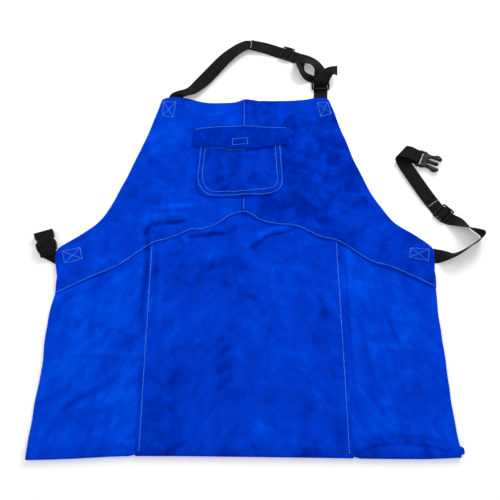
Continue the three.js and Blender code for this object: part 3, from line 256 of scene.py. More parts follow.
NECK_TAIL = table(STRAP_COLUMNS, [
    (0.705, 0.93, 2.1, -21, 0, 1, 1), (0.637, 0.985, 2.7, -14, 3, 1, 2),
    (0.56, 1.022, 3.7, -8, 5, 1, 1), (0.524, 1.034, 4.5, -5, 6, 1, 1),
])
NECK_TAB = table(STRAP_COLUMNS, [
    (0, -0.33, 0.5, 90, 0, 1, 2), (0.04, -0.02, 0.5, 90, 0, 1, 1), (0.08, 0.1, 0.5, 90, 0, 1, 1),
    (0.08, 0.18, 0.6, 90, 0, 1, 1), (0.08, 0.21, 1.8, 90, 0, 1, 1), (0.08, 0.225, 5, 90, 0, 1, 1),
    (0.16, 0.25, 8.8, 78, 0, 1, 2), (0.42, 0.345, 10.4, 54, 8, 1, 2), (0.8, 0.41, 11.4, 22, 16, 1, 2),
    (1.32, 0.425, 12, -4, 4, 1, 1),
])
WAIST_SIDE = table(STRAP_COLUMNS, [
    (-0.56, -0.03, 0.5, -5, -180, 1, 2), (-0.02, -0.055, 0.5, -5, -180, 1, 1),
    (0.1, -0.062, 0.5, -4, -180, 1, 2), (0.3, -0.07, 0.8, 2, -142, 1, 2),
    (0.46, -0.062, 0.8, 16, -116, 1, 3), (0.72, 0.006, 0.8, 34, -102, 1, 3),
    (0.93, 0.07, 0.8, 42, -96, 1, 2), (0.99, 0.11, 0.8, 96, -88, 1, 2),
    (0.93, 0.14, 0.8, 150, -78, 1, 2), (0.8, 0.176, 0.8, 150, -62, 1, 3),
    (0.62, 0.246, 0.8, 142, -24, 1, 3), (0.49, 0.283, 0.5, 134, -4, 1, 1),
])
WAIST_DIAGONAL = table(STRAP_COLUMNS, [
    (0.19, 0.43, 0.6, 130, 0, 1, 2), (0.06, 0.522, 2, 124, 0, 1, 3), (-0.165, 0.72, 2.6, 118, 0, 1, 3),
    (-0.3, 0.85, 2.6, 118, 0, 1, 2), (-0.375, 0.94, 5, 136, 0, 1.15, 1),
    (-0.375, 0.96, 7.6, 137, 0, 1.15, 1), (-0.34, 0.965, 9.6, 142, 0, 1.1, 2), (-0.2, 0.955, 9, 156, 0, 1, 2),
])
WAIST_END = table(STRAP_COLUMNS, [
    (-0.08, 0.94, 0.5, 157, 0, 1, 1), (-0.17, 0.955, 0.5, 157, 0, 1, 1),
])
BUCKLE_TAB = table(STRAP_COLUMNS, [
    (1.2, 0.36, 0.5, 195, 0, 1, 2), (0.1, 0.07, 0.5, 195, 0, 1, 2), (-0.56, -0.06, 0.9, 238, 0, 1.36, 1),
    (-0.62, -0.05, 1.6, 245, 0, 1.36, 1), (-0.75, 0.29, 1.5, 286, 0, 1.01, 1),
])
BUCKLE_TAB_END = table(STRAP_COLUMNS, [
    (-0.8, 0.43, 6.2, 288, 0, 1, 1), (-0.72, 0.19, 4.6, 288, 0, 1, 1),
])

# The buckles' outlines: along is a share of the length, half a share of the buckle's width.
MALE_OUTLINE = [
    (0, 0.4), (0.012, 0.46), (0.04, 0.485), (0.29, 0.485), (0.36, 0.43), (0.44, 0.38), (0.54, 0.385),
    (0.64, 0.41), (0.72, 0.49), (0.78, 0.5), (0.84, 0.5), (0.91, 0.455), (0.98, 0.38), (1, 0.34),
    (0.995, 0.3), (0.97, 0.27), (0.9, 0.262), (0.8, 0.28), (0.7, 0.275), (0.6, 0.26), (0.52, 0.235),
    (0.46, 0.19), (0.42, 0.14), (0.41, 0.1), (0.84, 0.095), (0.89, 0.08), (0.91, 0.05),
]
FEMALE_OUTLINE = [
    (0, 0.36), (0.015, 0.41), (0.06, 0.455), (0.2, 0.49), (0.34, 0.5), (0.42, 0.48), (0.47, 0.44),
    (0.51, 0.37), (0.56, 0.33), (0.61, 0.35), (0.65, 0.42), (0.7, 0.465), (0.94, 0.475), (0.985, 0.46),
    (1, 0.43),
]

# Stitched lines on the leather, in millimetres. The four crossed boxes give their corners.
CROSSED_BOXES = [
    [(-144.9, 300.4), (-123.0, 299.3), (-125.7, 264.4), (-144.9, 268.8)],
    [(134.0, 297.4), (152.4, 298.2), (158.3, 273.3), (139.0, 266.6)],
    [(-291.0, -2.7), (-263.4, 4.5), (-257.2, -15.2), (-284.4, -23.2)],
    [(271.9, 3.6), (301.7, 1.8), (297.7, -18.8), (268.6, -12.6)],
]
POCKET_OUTER_STITCH = [
    (-73, 206), (-75, 176), (-77, 146), (-76, 131), (-69, 116), (-59, 107), (-48, 104), (-26, 104),
    (1, 105), (29, 106), (46, 109), (58, 114), (65, 123), (67, 136), (66, 159), (64, 206),
]
POCKET_INNER_STITCH = [
    (-65, 206), (-67, 188), (-69, 159), (-69, 136), (-64, 122), (-56, 114), (-46, 111), (-24, 111),
    (7, 112), (23, 115), (47, 119), (56, 125), (59, 136), (58, 159), (56, 206),
]
FLAP_STITCH = [
    (-85, 239), (-76, 242), (-54, 245), (-26, 246.5), (0, 247), (23, 246.5), (55, 245), (76, 244),
]
POCKET_TOP_STITCH = [(-64, 200), (-45, 199), (-20, 195.5), (4, 194)]
FLAP_PATCH = [(-19, 219), (7, 219), (8, 206), (-18, 205), (-19, 219)]

# How far a stitched line seen in the photo is brought towards the viewer, for its height
BOX_DROP = 2
POCKET_DROP = 3
FLAP_DROP = 4.5


def length(name, description, default, low, high):
    """A length that is given in millimetres."""
    return FloatProperty(
        name=name, description=description, default=default * MM, min=low * MM, max=high * MM,
        subtype="DISTANCE", unit="LENGTH")


def colour(name, description, default):
    return FloatVectorProperty(
        name=name, description=description, default=default, subtype="COLOR", min=0, max=1)


class ApronSizes(bpy.types.PropertyGroup):
    thread: length("Thread", "Thickness of the sewing thread", 1.15, 0.1, 3)
    stitch_length: length("Stitch length", "Length of thread that shows in one stitch", 2.9, 1, 10)
    stitch_pitch: length("Stitch pitch", "Distance from one stitch to the next", 3.7, 1.5, 15)
    cell: length("Leather cell", "Size of the faces that the leather is modelled with", 3, 1, 20)


class ApronColours(bpy.types.PropertyGroup):
    suede: colour("Suede", "Main colour of the suede", (0.0, 0.046, 0.66))
    # The lighter suede colour serves brushed nap and painted light on the rolls beside creases
    suede_light: colour(
        "Brushed suede", "Colour where the nap is brushed towards the light", (0.0, 0.088, 0.92))
    # The darker suede colour serves nap that lies the other way and painted shade in creases, beside folds
    # and along the bottom fold
    suede_dark: colour("Shaded suede", "Colour where the nap lies the other way", (0.0, 0.017, 0.36))
    thread: colour("Thread", "Colour of the sewing thread", (0.1, 0.36, 1.0))
    marker: colour(
        "Strap stitch", "Colour of the pale thread across the straps", (0.72, 0.66, 0.50))
    webbing: colour("Webbing", "Colour of the straps", (0.0035, 0.0028, 0.0030))
    plastic: colour("Plastic", "Colour of the buckles, sliders and ring", (0.0045, 0.0040, 0.0040))


def sizes():
    return bpy.context.scene.apron_sizes


def colours():
    return bpy.context.scene.apron_colours


# Numbers, curves and the apron's outline

def mix(a, b, share):
    return a + (b - a) * share


def smooth(value):
    share = np.clip(value, 0, 1)
    return share * share * (3 - 2 * share)


def curve(rows, along, height, value):
    """A smooth line through a table, read at an array of values of one of its columns."""
    keys, values = rows[along], rows[height]
    value = np.asarray(value, float)
    i = np.searchsorted(keys[1:-1], value, side="left")
    before, start, end, after = (np.clip(i + k, 0, len(keys) - 1) for k in (-1, 0, 1, 2))
    width = keys[end] - keys[start]
    t = np.clip((value - keys[start]) / width, 0, 1)
    leaving = (values[end] - values[before]) / np.maximum(keys[end] - keys[before], 1e-6) * width
    arriving = (values[after] - values[start]) / np.maximum(keys[after] - keys[start], 1e-6) * width
    t2, t3 = t * t, t * t * t
    return ((2 * t3 - 3 * t2 + 1) * values[start] + (t3 - 2 * t2 + t) * leaving
            + (3 * t2 - 2 * t3) * values[end] + (t3 - t2) * arriving)


def rounded(p0, p1, p2, p3, t):
    """A point between p1 and p2 on a smooth line that goes through all four."""
    return 0.5 * (2 * p1 + (p2 - p0) * t + (2 * p0 - 5 * p1 + 4 * p2 - p3) * t * t
                  + (3 * p1 - p0 - 3 * p2 + p3) * t * t * t)


def chevron_y(x):
    return CHEVRON_APEX - CHEVRON_DEPTH * curve(CHEVRON, "across", "fall", x / HALF_WIDTH)


def bib_top_y(x):
    return BIB_HEIGHT * (1 - curve(BIB_TOP, "across", "sag", x / HALF_TOP))


def fold_axis_y(x):
    line = -SKIRT_DROP * (1 + curve(BOTTOM_FOLD, "across", "dip", x / HALF_WIDTH))
    return line + FOLD_RADIUS + LEATHER


LEFT_EDGE = HALF_WIDTH * CHEVRON["across"][0]
RIGHT_EDGE = HALF_WIDTH * CHEVRON["across"][-1]

NECK_LEFT = Vector((-0.83 * HALF_TOP, BIB_HEIGHT))
NECK_RIGHT = Vector((0.925 * HALF_TOP, BIB_HEIGHT))
NECK_SPAN = NECK_RIGHT.x - NECK_LEFT.x
WAIST_RIGHT = Vector((RIGHT_EDGE, 0))
WAIST_LEFT = Vector((LEFT_EDGE, -0.06 * BIB_HEIGHT))

WEB_LOW = FLOOR_GAP + WEBBING / 2
WEB_SECOND = WEB_LOW + WEBBING + WEBBING_GAP
TURN_STEPS = 12


def wrap_radius(width, height):
    """How wide a band turns round a square bar, clear of its corners."""
    return (math.hypot(width / 2, height / 2) + WEBBING_GAP / 2) / math.cos(math.pi / 12) + WEBBING / 2


def spot(x, y, z, heading):
    """Where a piece of hardware lies, in millimetres, and its heading in degrees."""
    return {"x": x, "y": y, "z": z, "heading": heading}


NECK_SLIDER = spot(
    NECK_LEFT.x + 0.782 * NECK_SPAN, NECK_LEFT.y + 0.863 * NECK_REACH,
    WEB_SECOND + WEBBING / 2 + WEBBING_GAP, -22)
WAIST_SLIDER = spot(
    WAIST_RIGHT.x + 0.333 * WAIST_OUT, WAIST_RIGHT.y + 0.347 * WAIST_RISE,
    WEB_LOW + WEBBING / 2 + WEBBING_GAP, 133)
RING = spot(
    NECK_RIGHT.x + 0.08 * WEBBING_WIDTH, NECK_RIGHT.y + 0.235 * NECK_REACH,
    WEB_LOW + WEBBING + RING_BAR / 2 + WEBBING_GAP, 90)
MALE_BUCKLE = spot(
    WAIST_RIGHT.x - 0.035 * WAIST_OUT, WAIST_RIGHT.y + 0.926 * WAIST_RISE,
    WEB_LOW + wrap_radius(MALE_BAR, MALE_THICKNESS) + 0.4 * WEBBING_GAP, -24)
FEMALE_BUCKLE = spot(
    WAIST_LEFT.x - 0.84 * WEBBING_WIDTH, WAIST_LEFT.y + 0.56 * WEBBING_WIDTH,
    BUCKLE_THICKNESS / 2 + WEBBING_GAP, 108)

# The frame's origin is the middle of the footprint, found from where the frame has the ring.
RING_LOW, RING_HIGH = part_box("neck_ring")
SHIFT_X = (RING_LOW.x + RING_HIGH.x) / 2 / MM - RING["x"]
SHIFT_Y = (RING_LOW.y + RING_HIGH.y) / 2 / MM - RING["y"]


def to_frame(points):
    """Millimetres about the apron's centre line, as metres in the frame."""
    return (np.asarray(points, float) + (SHIFT_X, SHIFT_Y, 0)) * MM


# The panels' places in plan. A column is named by its x on the chevron seam.

SKIRT_DRIFT = table("x shift", [
    (LEFT_EDGE, -0.027), (LEFT_SEAM - RAMP, 0.011), (LEFT_SEAM + SEAM_LAP + RAMP, 0.011), (0, 0),
    (RIGHT_SEAM - SEAM_LAP - RAMP, -0.005), (RIGHT_SEAM + RAMP, -0.005), (RIGHT_EDGE, 0.008),
])


def drift_at(x):
    return HALF_WIDTH * np.interp(x, SKIRT_DRIFT["x"], SKIRT_DRIFT["shift"])


def bib_column_top(x):
    left = mix(BIB_SEAM, HALF_TOP * BIB_TOP["across"][0], (x - BIB_SEAM) / (LEFT_EDGE - BIB_SEAM))
    start = BIB_LAP_END + RAMP
    right = mix(start, HALF_TOP * BIB_TOP["across"][-1], (x - start) / (RIGHT_EDGE - start))
    return np.where(x <= BIB_SEAM, left, np.where(x <= start, x, right))


def bib_side(rise, side):
    edge = LEFT_EDGE if side == "left" else RIGHT_EDGE
    foot_y = float(chevron_y(edge)) + LAP_REACH
    line = {
        "rise": np.concatenate([[0], BIB_SIDES["rise"]]),
        "x": np.concatenate([[edge], math.copysign(1, edge) * mix(HALF_TOP, HALF_WIDTH, BIB_SIDES[side])]),
        "y": np.concatenate([[foot_y], BIB_HEIGHT * BIB_SIDES["height"]]),
    }
    return curve(line, "rise", "x", rise), curve(line, "rise", "y", rise)


def bib_plan(x, row):
    """Row is 1 at the neck edge, 0 above the chevron's lap and -1 at the bib's lower edge."""
    rise = np.maximum(row, 0)
    below = np.minimum(row, 0) * LAP_REACH
    left = x <= BIB_SEAM
    edge = np.where(left, LEFT_EDGE, RIGHT_EDGE)
    inner = np.where(left, BIB_SEAM, BIB_LAP_END + RAMP)
    pull = np.clip((x - inner) / (edge - inner), 0, 1)
    foot_y = chevron_y(x) + LAP_REACH
    top_x = bib_column_top(x)
    sides = {side: bib_side(rise, side) for side in ("left", "right")}
    bow_x = np.where(left, sides["left"][0], sides["right"][0])
    bow_y = np.where(left, sides["left"][1], sides["right"][1])
    edge_top_x = bib_column_top(edge)
    bow_x = bow_x - mix(edge, edge_top_x, rise)
    bow_y = bow_y - mix(chevron_y(edge) + LAP_REACH, bib_top_y(edge_top_x), rise)
    plan_x = mix(x, top_x, rise) + pull * bow_x
    plan_y = mix(foot_y, bib_top_y(top_x), rise) + pull * bow_y
    return plan_x, plan_y + below * (1 + BIB_EDGE_DROP / LAP_REACH)


def skirt_plan(x, down):
    """Down is 0 on the chevron seam and 1 on the fold's axis. Above the seam it is -1 at the lap's end."""
    drop = np.maximum(down, 0)
    above = -np.minimum(down, 0) * CHEVRON_LAP
    fold_x = x + drift_at(x)
    chevron = chevron_y(x)
    left_pull = np.clip((x - LEFT_SEAM + RAMP) / (LEFT_EDGE - LEFT_SEAM + RAMP), 0, 1)
    right_pull = np.clip((x - RIGHT_SEAM - RAMP) / (RIGHT_EDGE - RIGHT_SEAM - RAMP), 0, 1)
    bow = right_pull * curve(SKIRT_SIDES, "down", "right", drop)
    bow = bow - left_pull * curve(SKIRT_SIDES, "down", "left", drop)
    return mix(x, fold_x, drop) + HALF_WIDTH * bow, mix(chevron, fold_axis_y(fold_x), drop) + above


# Heights: what raises the leather off the table

def sewn_end(row, edge, reach_x, reach_y, out, layers):
    """The line of one sewn webbing end, and how many webbings lie under its outer end."""
    start = (edge.x + row["across"][0] * reach_x, edge.y + row["up"][0] * reach_y)
    return start, (edge.x + out[0], edge.y + out[1]), layers


SEWN_ENDS = [
    sewn_end(NECK_LEG, NECK_LEFT, NECK_SPAN, NECK_REACH, (0, 10), 1),
    sewn_end(NECK_TAB, NECK_RIGHT, WEBBING_WIDTH, NECK_REACH, (0, 10), 1),
    sewn_end(WAIST_SIDE, WAIST_RIGHT, WAIST_OUT, WAIST_RISE, (8, -11), 1),
    sewn_end(BUCKLE_TAB, WAIST_LEFT, 1.47 * WEBBING_WIDTH, 1.47 * WEBBING_WIDTH, (-12, -3), 2.3),
]
SEWN_CLEAR = 31
SEWN_FADE = 26
SEWN_LIFT = FLOOR_GAP + WEBBING + 0.45


def near_line(x, y, start, end):
    """How far along a straight line each point lies, and how far from it, more than 0 on its left."""
    dx, dy = end[0] - start[0], end[1] - start[1]
    length = dx * dx + dy * dy
    t = np.clip(((x - start[0]) * dx + (y - start[1]) * dy) / length, 0, 1)
    off_x, off_y = x - start[0] - t * dx, y - start[1] - t * dy
    side = np.where(dx * off_y - dy * off_x >= 0, 1.0, -1.0)
    return t, side * np.hypot(off_x, off_y)


def sewn_shares(x, y):
    """How far each point is within the raised patches over the sewn ends, and how high they are."""
    share, lift = np.zeros_like(x), np.zeros_like(x)
    for start, end, layers in SEWN_ENDS:
        t, away = near_line(x, y, start, end)
        here = smooth(1 - (np.abs(away) - SEWN_CLEAR) / SEWN_FADE)
        share = np.maximum(share, here)
        lift = np.maximum(lift, SEWN_LIFT * here * mix(1, layers, smooth(t * 2 - 1)))
    return share, lift


def crease_heights(x, y):
    total = np.zeros_like(x)
    for depth, width, roll_height, points in CREASES:
        best = np.full_like(x, 1e9)
        along = np.zeros_like(x)
        for i, (start, end) in enumerate(zip(points, points[1:])):
            t, away = near_line(x, y, start, end)
            closer = np.abs(away) < np.abs(best)
            best = np.where(closer, away, best)
            along = np.where(closer, (i + t) / (len(points) - 1), along)
        fade = np.sin(np.pi * np.clip(along, 0, 1)) ** 0.6
        valley = -depth * np.exp(-(best / (0.55 * width)) ** 2)
        roll = roll_height * np.exp(-((best - 1.5 * width) / (1.1 * width)) ** 2)
        total += fade * (valley + roll)
    return total


def ellipse(x, y, centre, along, across, bearing):
    """1 in the middle of an ellipse, fading smoothly outwards."""
    dx, dy = x - centre[0], y - centre[1]
    turn = math.radians(bearing)
    u = (dx * math.cos(turn) + dy * math.sin(turn)) / along
    v = (dy * math.cos(turn) - dx * math.sin(turn)) / across
    return np.exp(-u * u - v * v)


def nap_tone_and_painted_shade(x, y):
    """How dark or light the suede is painted at each point: painted shade in the creases' valleys and painted
    light on their rolls, the broad patches of nap tone and painted shade, and painted shade along the bottom
    fold.
    """
    # Painted shade in each crease's valley and painted light on the roll beside it
    tone = np.clip(crease_heights(x, y) / 0.95, -1.5, 0.8)
    for place_x, place_y, along, across, bearing, depth in zip(*TONES.values()):
        tone += 0.55 * depth * ellipse(x, y, (place_x, place_y), along, across, bearing)
    # Painted shade along the bottom fold, where the leather turns down away from the light, deeper right of
    # the right seam
    return tone - 0.9 * (1 - smooth((y - fold_axis_y(x)) / 18)) * (0.7 + 0.5 * (x > RIGHT_SEAM))


# Long soft waves of the hide: wavelength and height in millimetres, bearing and start in degrees
WAVES = table("length height bearing start", [
    (173, 0.34, 18, 40), (121, 0.26, 74, 200), (88, 0.22, -38, 90), (63, 0.17, 52, 310),
    (47, 0.13, -66, 15), (36, 0.09, 8, 150), (29, 0.07, 96, 260), (23, 0.05, -20, 70),
])


def waves(x, y):
    total = np.zeros_like(x)
    for length, height, bearing, start in zip(*WAVES.values()):
        turn = math.radians(bearing)
        bent_x = x + 14 * np.sin(y / 57 + start)
        bent_y = y + 11 * np.sin(x / 49 + bearing)
        phase = 2 * math.pi * (bent_x * math.cos(turn) + bent_y * math.sin(turn)) / length
        total += height * np.sin(phase + math.radians(start))
    return total


def relief(x, y):
    share, _ = sewn_shares(x, y)
    calm = smooth((y + SKIRT_DROP - FOLD_CALM) / CALM_FADE)
    total = np.zeros_like(x)
    for place_x, place_y, along, across, bearing, height in zip(*SWELLS.values()):
        centre = (place_x * HALF_WIDTH, place_y * (BIB_HEIGHT if place_y > 0 else SKIRT_DROP))
        total += height * LEATHER * ellipse(x, y, centre, along * HALF_WIDTH, across * HALF_WIDTH, bearing)
    fine = crease_heights(x, y) * (1 - share) + waves(x, y) * (1 - 0.6 * share)
    return np.maximum(total * calm * (1 - share) + fine * mix(0.25, 1, calm), 0)


def lap_mask(x, start, end):
    """1 between two upright lines, falling to 0 over a ramp on either side."""
    return smooth(1 + np.minimum(x - start, end - x) / RAMP)


def side_laps(x):
    left = lap_mask(x, LEFT_SEAM, LEFT_SEAM + SEAM_LAP)
    return np.maximum(left, lap_mask(x, RIGHT_SEAM - SEAM_LAP, RIGHT_SEAM))


def seam_groove(distance, reach=2.6):
    """The shallow channel that a sewn line pulls into the leather."""
    return -0.28 * np.exp(-(distance / reach) ** 2)


# How light each hide is beside the others
HIDE_TONES = {
    "skirt_left": 0.55, "skirt_center": -0.1, "skirt_right": 0.3, "bib_left": 0.0, "bib_right": -0.75,
    "pocket": -0.7, "pocket_flap": -1.1,
}


# Making the leather pieces

def spaced(start, end, step, lines):
    """Values from start to end about one step apart, through each of the given lines."""
    stops = sorted({start, end, *[line for line in lines if start < line < end]})
    values = [stops[0]]
    for a, b in zip(stops, stops[1:]):
        count = max(1, round((b - a) / step))
        values += [mix(a, b, (k + 1) / count) for k in range(count)]
    return np.array(values)


def activate(piece):
    if bpy.context.mode != "OBJECT":
        bpy.ops.object.mode_set(mode="OBJECT")
    bpy.ops.object.select_all(action="DESELECT")
    piece.select_set(True)
    bpy.context.view_layer.objects.active = piece


def apply_modifier(piece, kind, **settings):
    modifier = piece.modifiers.new(kind.title(), kind)
    for name, value in settings.items():
        setattr(modifier, name, value)
    activate(piece)
    bpy.ops.object.modifier_apply(modifier=modifier.name)


def settle_piece(piece, node):
    """Hides the frame's part for the node that a finished piece stands for, and hangs the piece on the root
    body.
    """
    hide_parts(node)
    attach(piece, "root")


def face_outwards(piece):
    activate(piece)
    bpy.ops.object.mode_set(mode="EDIT")
    bpy.ops.mesh.select_all(action="SELECT")
    bpy.ops.mesh.normals_make_consistent(inside=False)
    bpy.ops.object.mode_set(mode="OBJECT")


def mesh_piece(name, points, faces, uv=None):
    mesh = bpy.data.meshes.new(name)
    mesh.from_pydata([tuple(point) for point in points], [], faces)
    if mesh.validate() or not mesh.polygons:
        raise RuntimeError(f"{name} has no sound mesh")
    if uv is not None:
        layer = mesh.uv_layers.new(name="flat")
        corners = np.array([loop.vertex_index for loop in mesh.loops])
        layer.data.foreach_set("uv", np.asarray(uv, np.float32)[corners].ravel())
    piece = bpy.data.objects.new(name, mesh)
    bpy.context.scene.collection.objects.link(piece)
    return piece


def grid_faces(rows, columns):
    return [
        (i * columns + j, (i + 1) * columns + j, (i + 1) * columns + j + 1, i * columns + j + 1)
        for i in range(rows - 1) for j in range(columns - 1)
    ]


def tube_faces(rings, sides, base):
    """The faces of a closed tube whose rings of points follow each other from the base point."""
    faces = []
    for i in range(rings - 1):
        for k in range(sides):
            a, b = base + i * sides + k, base + i * sides + (k + 1) % sides
            faces.append((a, a + sides, b + sides, b))
    faces.append(tuple(range(base, base + sides)))
    faces.append(tuple(reversed(range(base + (rings - 1) * sides, base + rings * sides))))
    return faces


def step_lengths(x, y, z, axis):
    return np.sqrt(sum(np.diff(value, axis=axis) ** 2 for value in (x, y, z)))


def leather_piece(node, x, y, z, material="brushed_suede"):
    """A sheet of suede through a grid of points in its middle, in millimetres."""
    rows, columns = x.shape
    down = np.vstack([np.zeros(columns), np.cumsum(step_lengths(x, y, z, 0), axis=0)])
    hide = sum(ord(letter) for letter in node) % 17
    uv = np.stack([x + 610 * hide, 370 * hide - down], -1).reshape(-1, 2) * MM
    points = to_frame(np.stack([x, y, z + LEATHER / 2], -1).reshape(-1, 3))
    piece = mesh_piece(f"{node}_leather", points, grid_faces(rows, columns), uv)
    # The tone attribute carries the nap's own tone together with painted shade and painted light from the
    # creases, broad patches and bottom fold
    tones = piece.data.attributes.new("tone", "FLOAT", "POINT")
    tones.data.foreach_set("value", (nap_tone_and_painted_shade(x, y) + HIDE_TONES[node]).astype(np.float32).ravel())
    for name in (material, "cut_suede"):
        piece.data.materials.append(bpy.data.materials[name])
    apply_modifier(
        piece, "SOLIDIFY", thickness=LEATHER * MM, offset=0, use_rim=True, material_offset_rim=1)
    apply_modifier(
        piece, "BEVEL", width=0.4 * MM, segments=2, limit_method="ANGLE", angle_limit=math.radians(50))
    activate(piece)
    bpy.ops.object.shade_smooth_by_angle(angle=math.radians(40))
    settle_piece(piece, node)
    return piece


def bib_height(x_column, row, x, y):
    above = LAP_REACH * (1 + np.minimum(row, 0)) + 1e3 * np.maximum(row, 0)
    over_skirt = smooth((LAP_REACH - above) / RAMP) * STACK * (1 + side_laps(x_column))
    _, lift = sewn_shares(x, y)
    return over_skirt + lift + relief(x, y) + seam_groove(above - STITCH_INSET)


def cut_waver(along, reach):
    """The small unevenness of an edge cut by hand."""
    return reach * (np.sin(along / 17) + 0.6 * np.sin(along / 7.3 + 1) + 0.5 * np.sin(along / 31 + 2)) / 2


def bib_panel(node, start, end, lapped):
    """One bib panel, from the neck edge down over the skirt, lapped over the other at the middle."""
    step = sizes().cell / MM
    columns = spaced(start, end, step * 1.15, [
        LEFT_SEAM, LEFT_SEAM + SEAM_LAP, BIB_SEAM, BIB_SEAM + STITCH_INSET, BIB_LAP_END,
        RIGHT_SEAM - SEAM_LAP, RIGHT_SEAM,
    ])
    rows = np.concatenate([
        np.linspace(1, 0, round(BIB_HEIGHT / step)),
        np.linspace(0, -1, round(LAP_REACH / 2.4))[1:],
    ])
    column, row = np.meshgrid(columns, rows)
    x, y = bib_plan(column, row)
    z = bib_height(column, row, x, y)
    if start < BIB_SEAM:
        outer, waver = columns[0], cut_waver(y, 0.7)
    else:
        outer, waver = columns[-1], cut_waver(y * 0.7 + 40, 1.5)
    x = x + smooth(1 - np.abs(column - outer) / EDGE_REACH) * waver
    if lapped:
        z = z + STACK * lap_mask(column, BIB_SEAM, BIB_LAP_END)
        z = z + seam_groove(column - BIB_SEAM - STITCH_INSET)
    return leather_piece(node, x, y, z)


def skirt_panel(node, start, end, is_centre):
    """One skirt panel: from under the bib down to the fold, round it, and back beneath."""
    step = sizes().cell / MM
    columns = spaced(start, end, step * 1.1, [
        LEFT_SEAM, LEFT_SEAM + LEFT_STITCH_INSET, LEFT_SEAM + SEAM_LAP,
        RIGHT_SEAM - SEAM_LAP, RIGHT_SEAM - RIGHT_STITCH_INSET, RIGHT_SEAM,
    ])
    rows = np.concatenate([
        np.linspace(-1, 0, 6)[:-1],
        np.linspace(0, 1, round((SKIRT_DROP + CHEVRON_APEX / 2) / step)),
    ])
    column, row = np.meshgrid(columns, rows)
    x, y = skirt_plan(column, row)
    lap = side_laps(column)
    fold_x = column + drift_at(column)
    distance = y - fold_axis_y(fold_x)
    hem = smooth((TURN_UNDER + DRAPE - distance) / DRAPE)
    fold_rise = (FOLD_AXIS_Z + FOLD_RADIUS - STACK) * (1 - smooth(distance / FOLD_REACH))
    seam_z = STACK * lap if is_centre else 0
    over_return = mix(STACK + fold_rise, STACK * (3 if is_centre else 2), lap)
    z = relief(x, y) + mix(seam_z, over_return, hem)
    if is_centre:
        z = z + seam_groove(column - LEFT_SEAM - LEFT_STITCH_INSET)
        z = z + seam_groove(column - RIGHT_SEAM + RIGHT_STITCH_INSET)
        beside = lap_mask(column, LEFT_SEAM, LEFT_SEAM + 6) + lap_mask(column, RIGHT_SEAM - 6, RIGHT_SEAM)
        z = z + pucker(y) * beside
    outer = {"skirt_left": columns[0], "skirt_right": columns[-1]}.get(node)
    if outer is not None:
        x = x + smooth(1 - np.abs(column - outer) / EDGE_REACH) * cut_waver(y, 0.8)
    x_fold, lap_fold = x[-1], lap[-1]
    y_fold = fold_axis_y(fold_x[-1])
    inner = mix(FOLD_RADIUS, FOLD_RADIUS if is_centre else INNER_RADIUS, lap_fold)
    radius = inner + LEATHER / 2
    turn = np.linspace(0, math.pi, 15)[1:, None]
    ring_x = np.repeat(x_fold[None], len(turn), 0)
    ring_y = y_fold - radius * np.sin(turn)
    ring_z = FOLD_AXIS_Z + radius * np.cos(turn) - LEATHER / 2
    back = np.concatenate([np.linspace(0, 0.2, 17)[1:], np.linspace(0.2, 1, 14)[1:]])[:, None]
    rolled = 7 * smooth(back * 60) * (1 - smooth((back - 0.065) * 40))
    rolled = rolled * smooth((column[-1] - RIGHT_EDGE + 40) / 40)
    outwards = smooth((np.abs(x_fold - CENTRE_X) - HALF_WIDTH / 2) / (HALF_WIDTH / 2))
    taper = 0.05 * TURN_UNDER * back * outwards
    back_x = x_fold + rolled - np.sign(x_fold) * taper
    back_y = y_fold + TURN_UNDER * back
    back_z = np.repeat((0 if is_centre else STACK) * lap_fold[None], len(back), 0)
    x, y, z = (np.vstack(parts) for parts in ((x, ring_x, back_x), (y, ring_y, back_y), (z, ring_z, back_z)))
    return leather_piece(node, x, y, z)


def pucker(y):
    """The small gathers beside a sewn seam."""
    return 0.16 * (np.sin(y / 2.9) * np.sin(y / 23 + 0.7) + 0.5 * np.sin(y / 4.7 + 2))


def over_bib(x):
    return STACK * (1 + lap_mask(x, BIB_SEAM, BIB_LAP_END))


def pocket_foot(x):
    """The pocket's lower edge rises to the right."""
    return POCKET_BOTTOM + 7 * smooth((x - POCKET_CENTRE) / POCKET_HALF)


def pocket_piece():
    """The patch pocket: a rounded sheet, sewn down round its sides and a little full in the middle."""
    shares = 1 - np.linspace(0, 1, 76) ** 0.9
    across = np.linspace(-1, 1, 98)
    share, across = np.meshgrid(shares, across, indexing="ij")
    height = share * POCKET_HEIGHT
    short = np.maximum(0, POCKET_CORNER - height)
    corner = POCKET_CORNER - np.sqrt(np.maximum(0, POCKET_CORNER ** 2 - short ** 2))
    x = POCKET_CENTRE + across * (POCKET_HALF - 0.9 * corner)
    y = mix(pocket_foot(x), POCKET_BOTTOM + POCKET_HEIGHT, share)
    z = relief(x, y) + over_bib(x) + POCKET_REST
    for line in (POCKET_OUTER_STITCH, POCKET_INNER_STITCH):
        z = z + seam_groove(distance_to(lowered(line, POCKET_DROP), x, y), 1.8)
    bulge = 0.9 * smooth((np.minimum(POCKET_HALF - np.abs(x - POCKET_CENTRE), height) - 12) / 30)
    return leather_piece("pocket", x, y, z + bulge)


def distance_to(line, x, y):
    best = np.full_like(x, 1e9)
    for start, end in zip(line, line[1:]):
        best = np.minimum(best, np.abs(near_line(x, y, start, end)[1]))
    return best


# The flap's edges: across is a share of its half width, top and foot shares of its height.
FLAP_EDGES = table("across top foot", [
    (-1, 0.2, 0.98), (-0.87, 0.14, 1.06), (-0.6, 0.05, 1.1), (-0.25, 0.01, 1.19), (0.05, 0, 1.24),
    (0.33, 0.01, 1.19), (0.55, 0.03, 1.1), (0.8, 0.06, 1.0), (1, 0.08, 0.96),
])


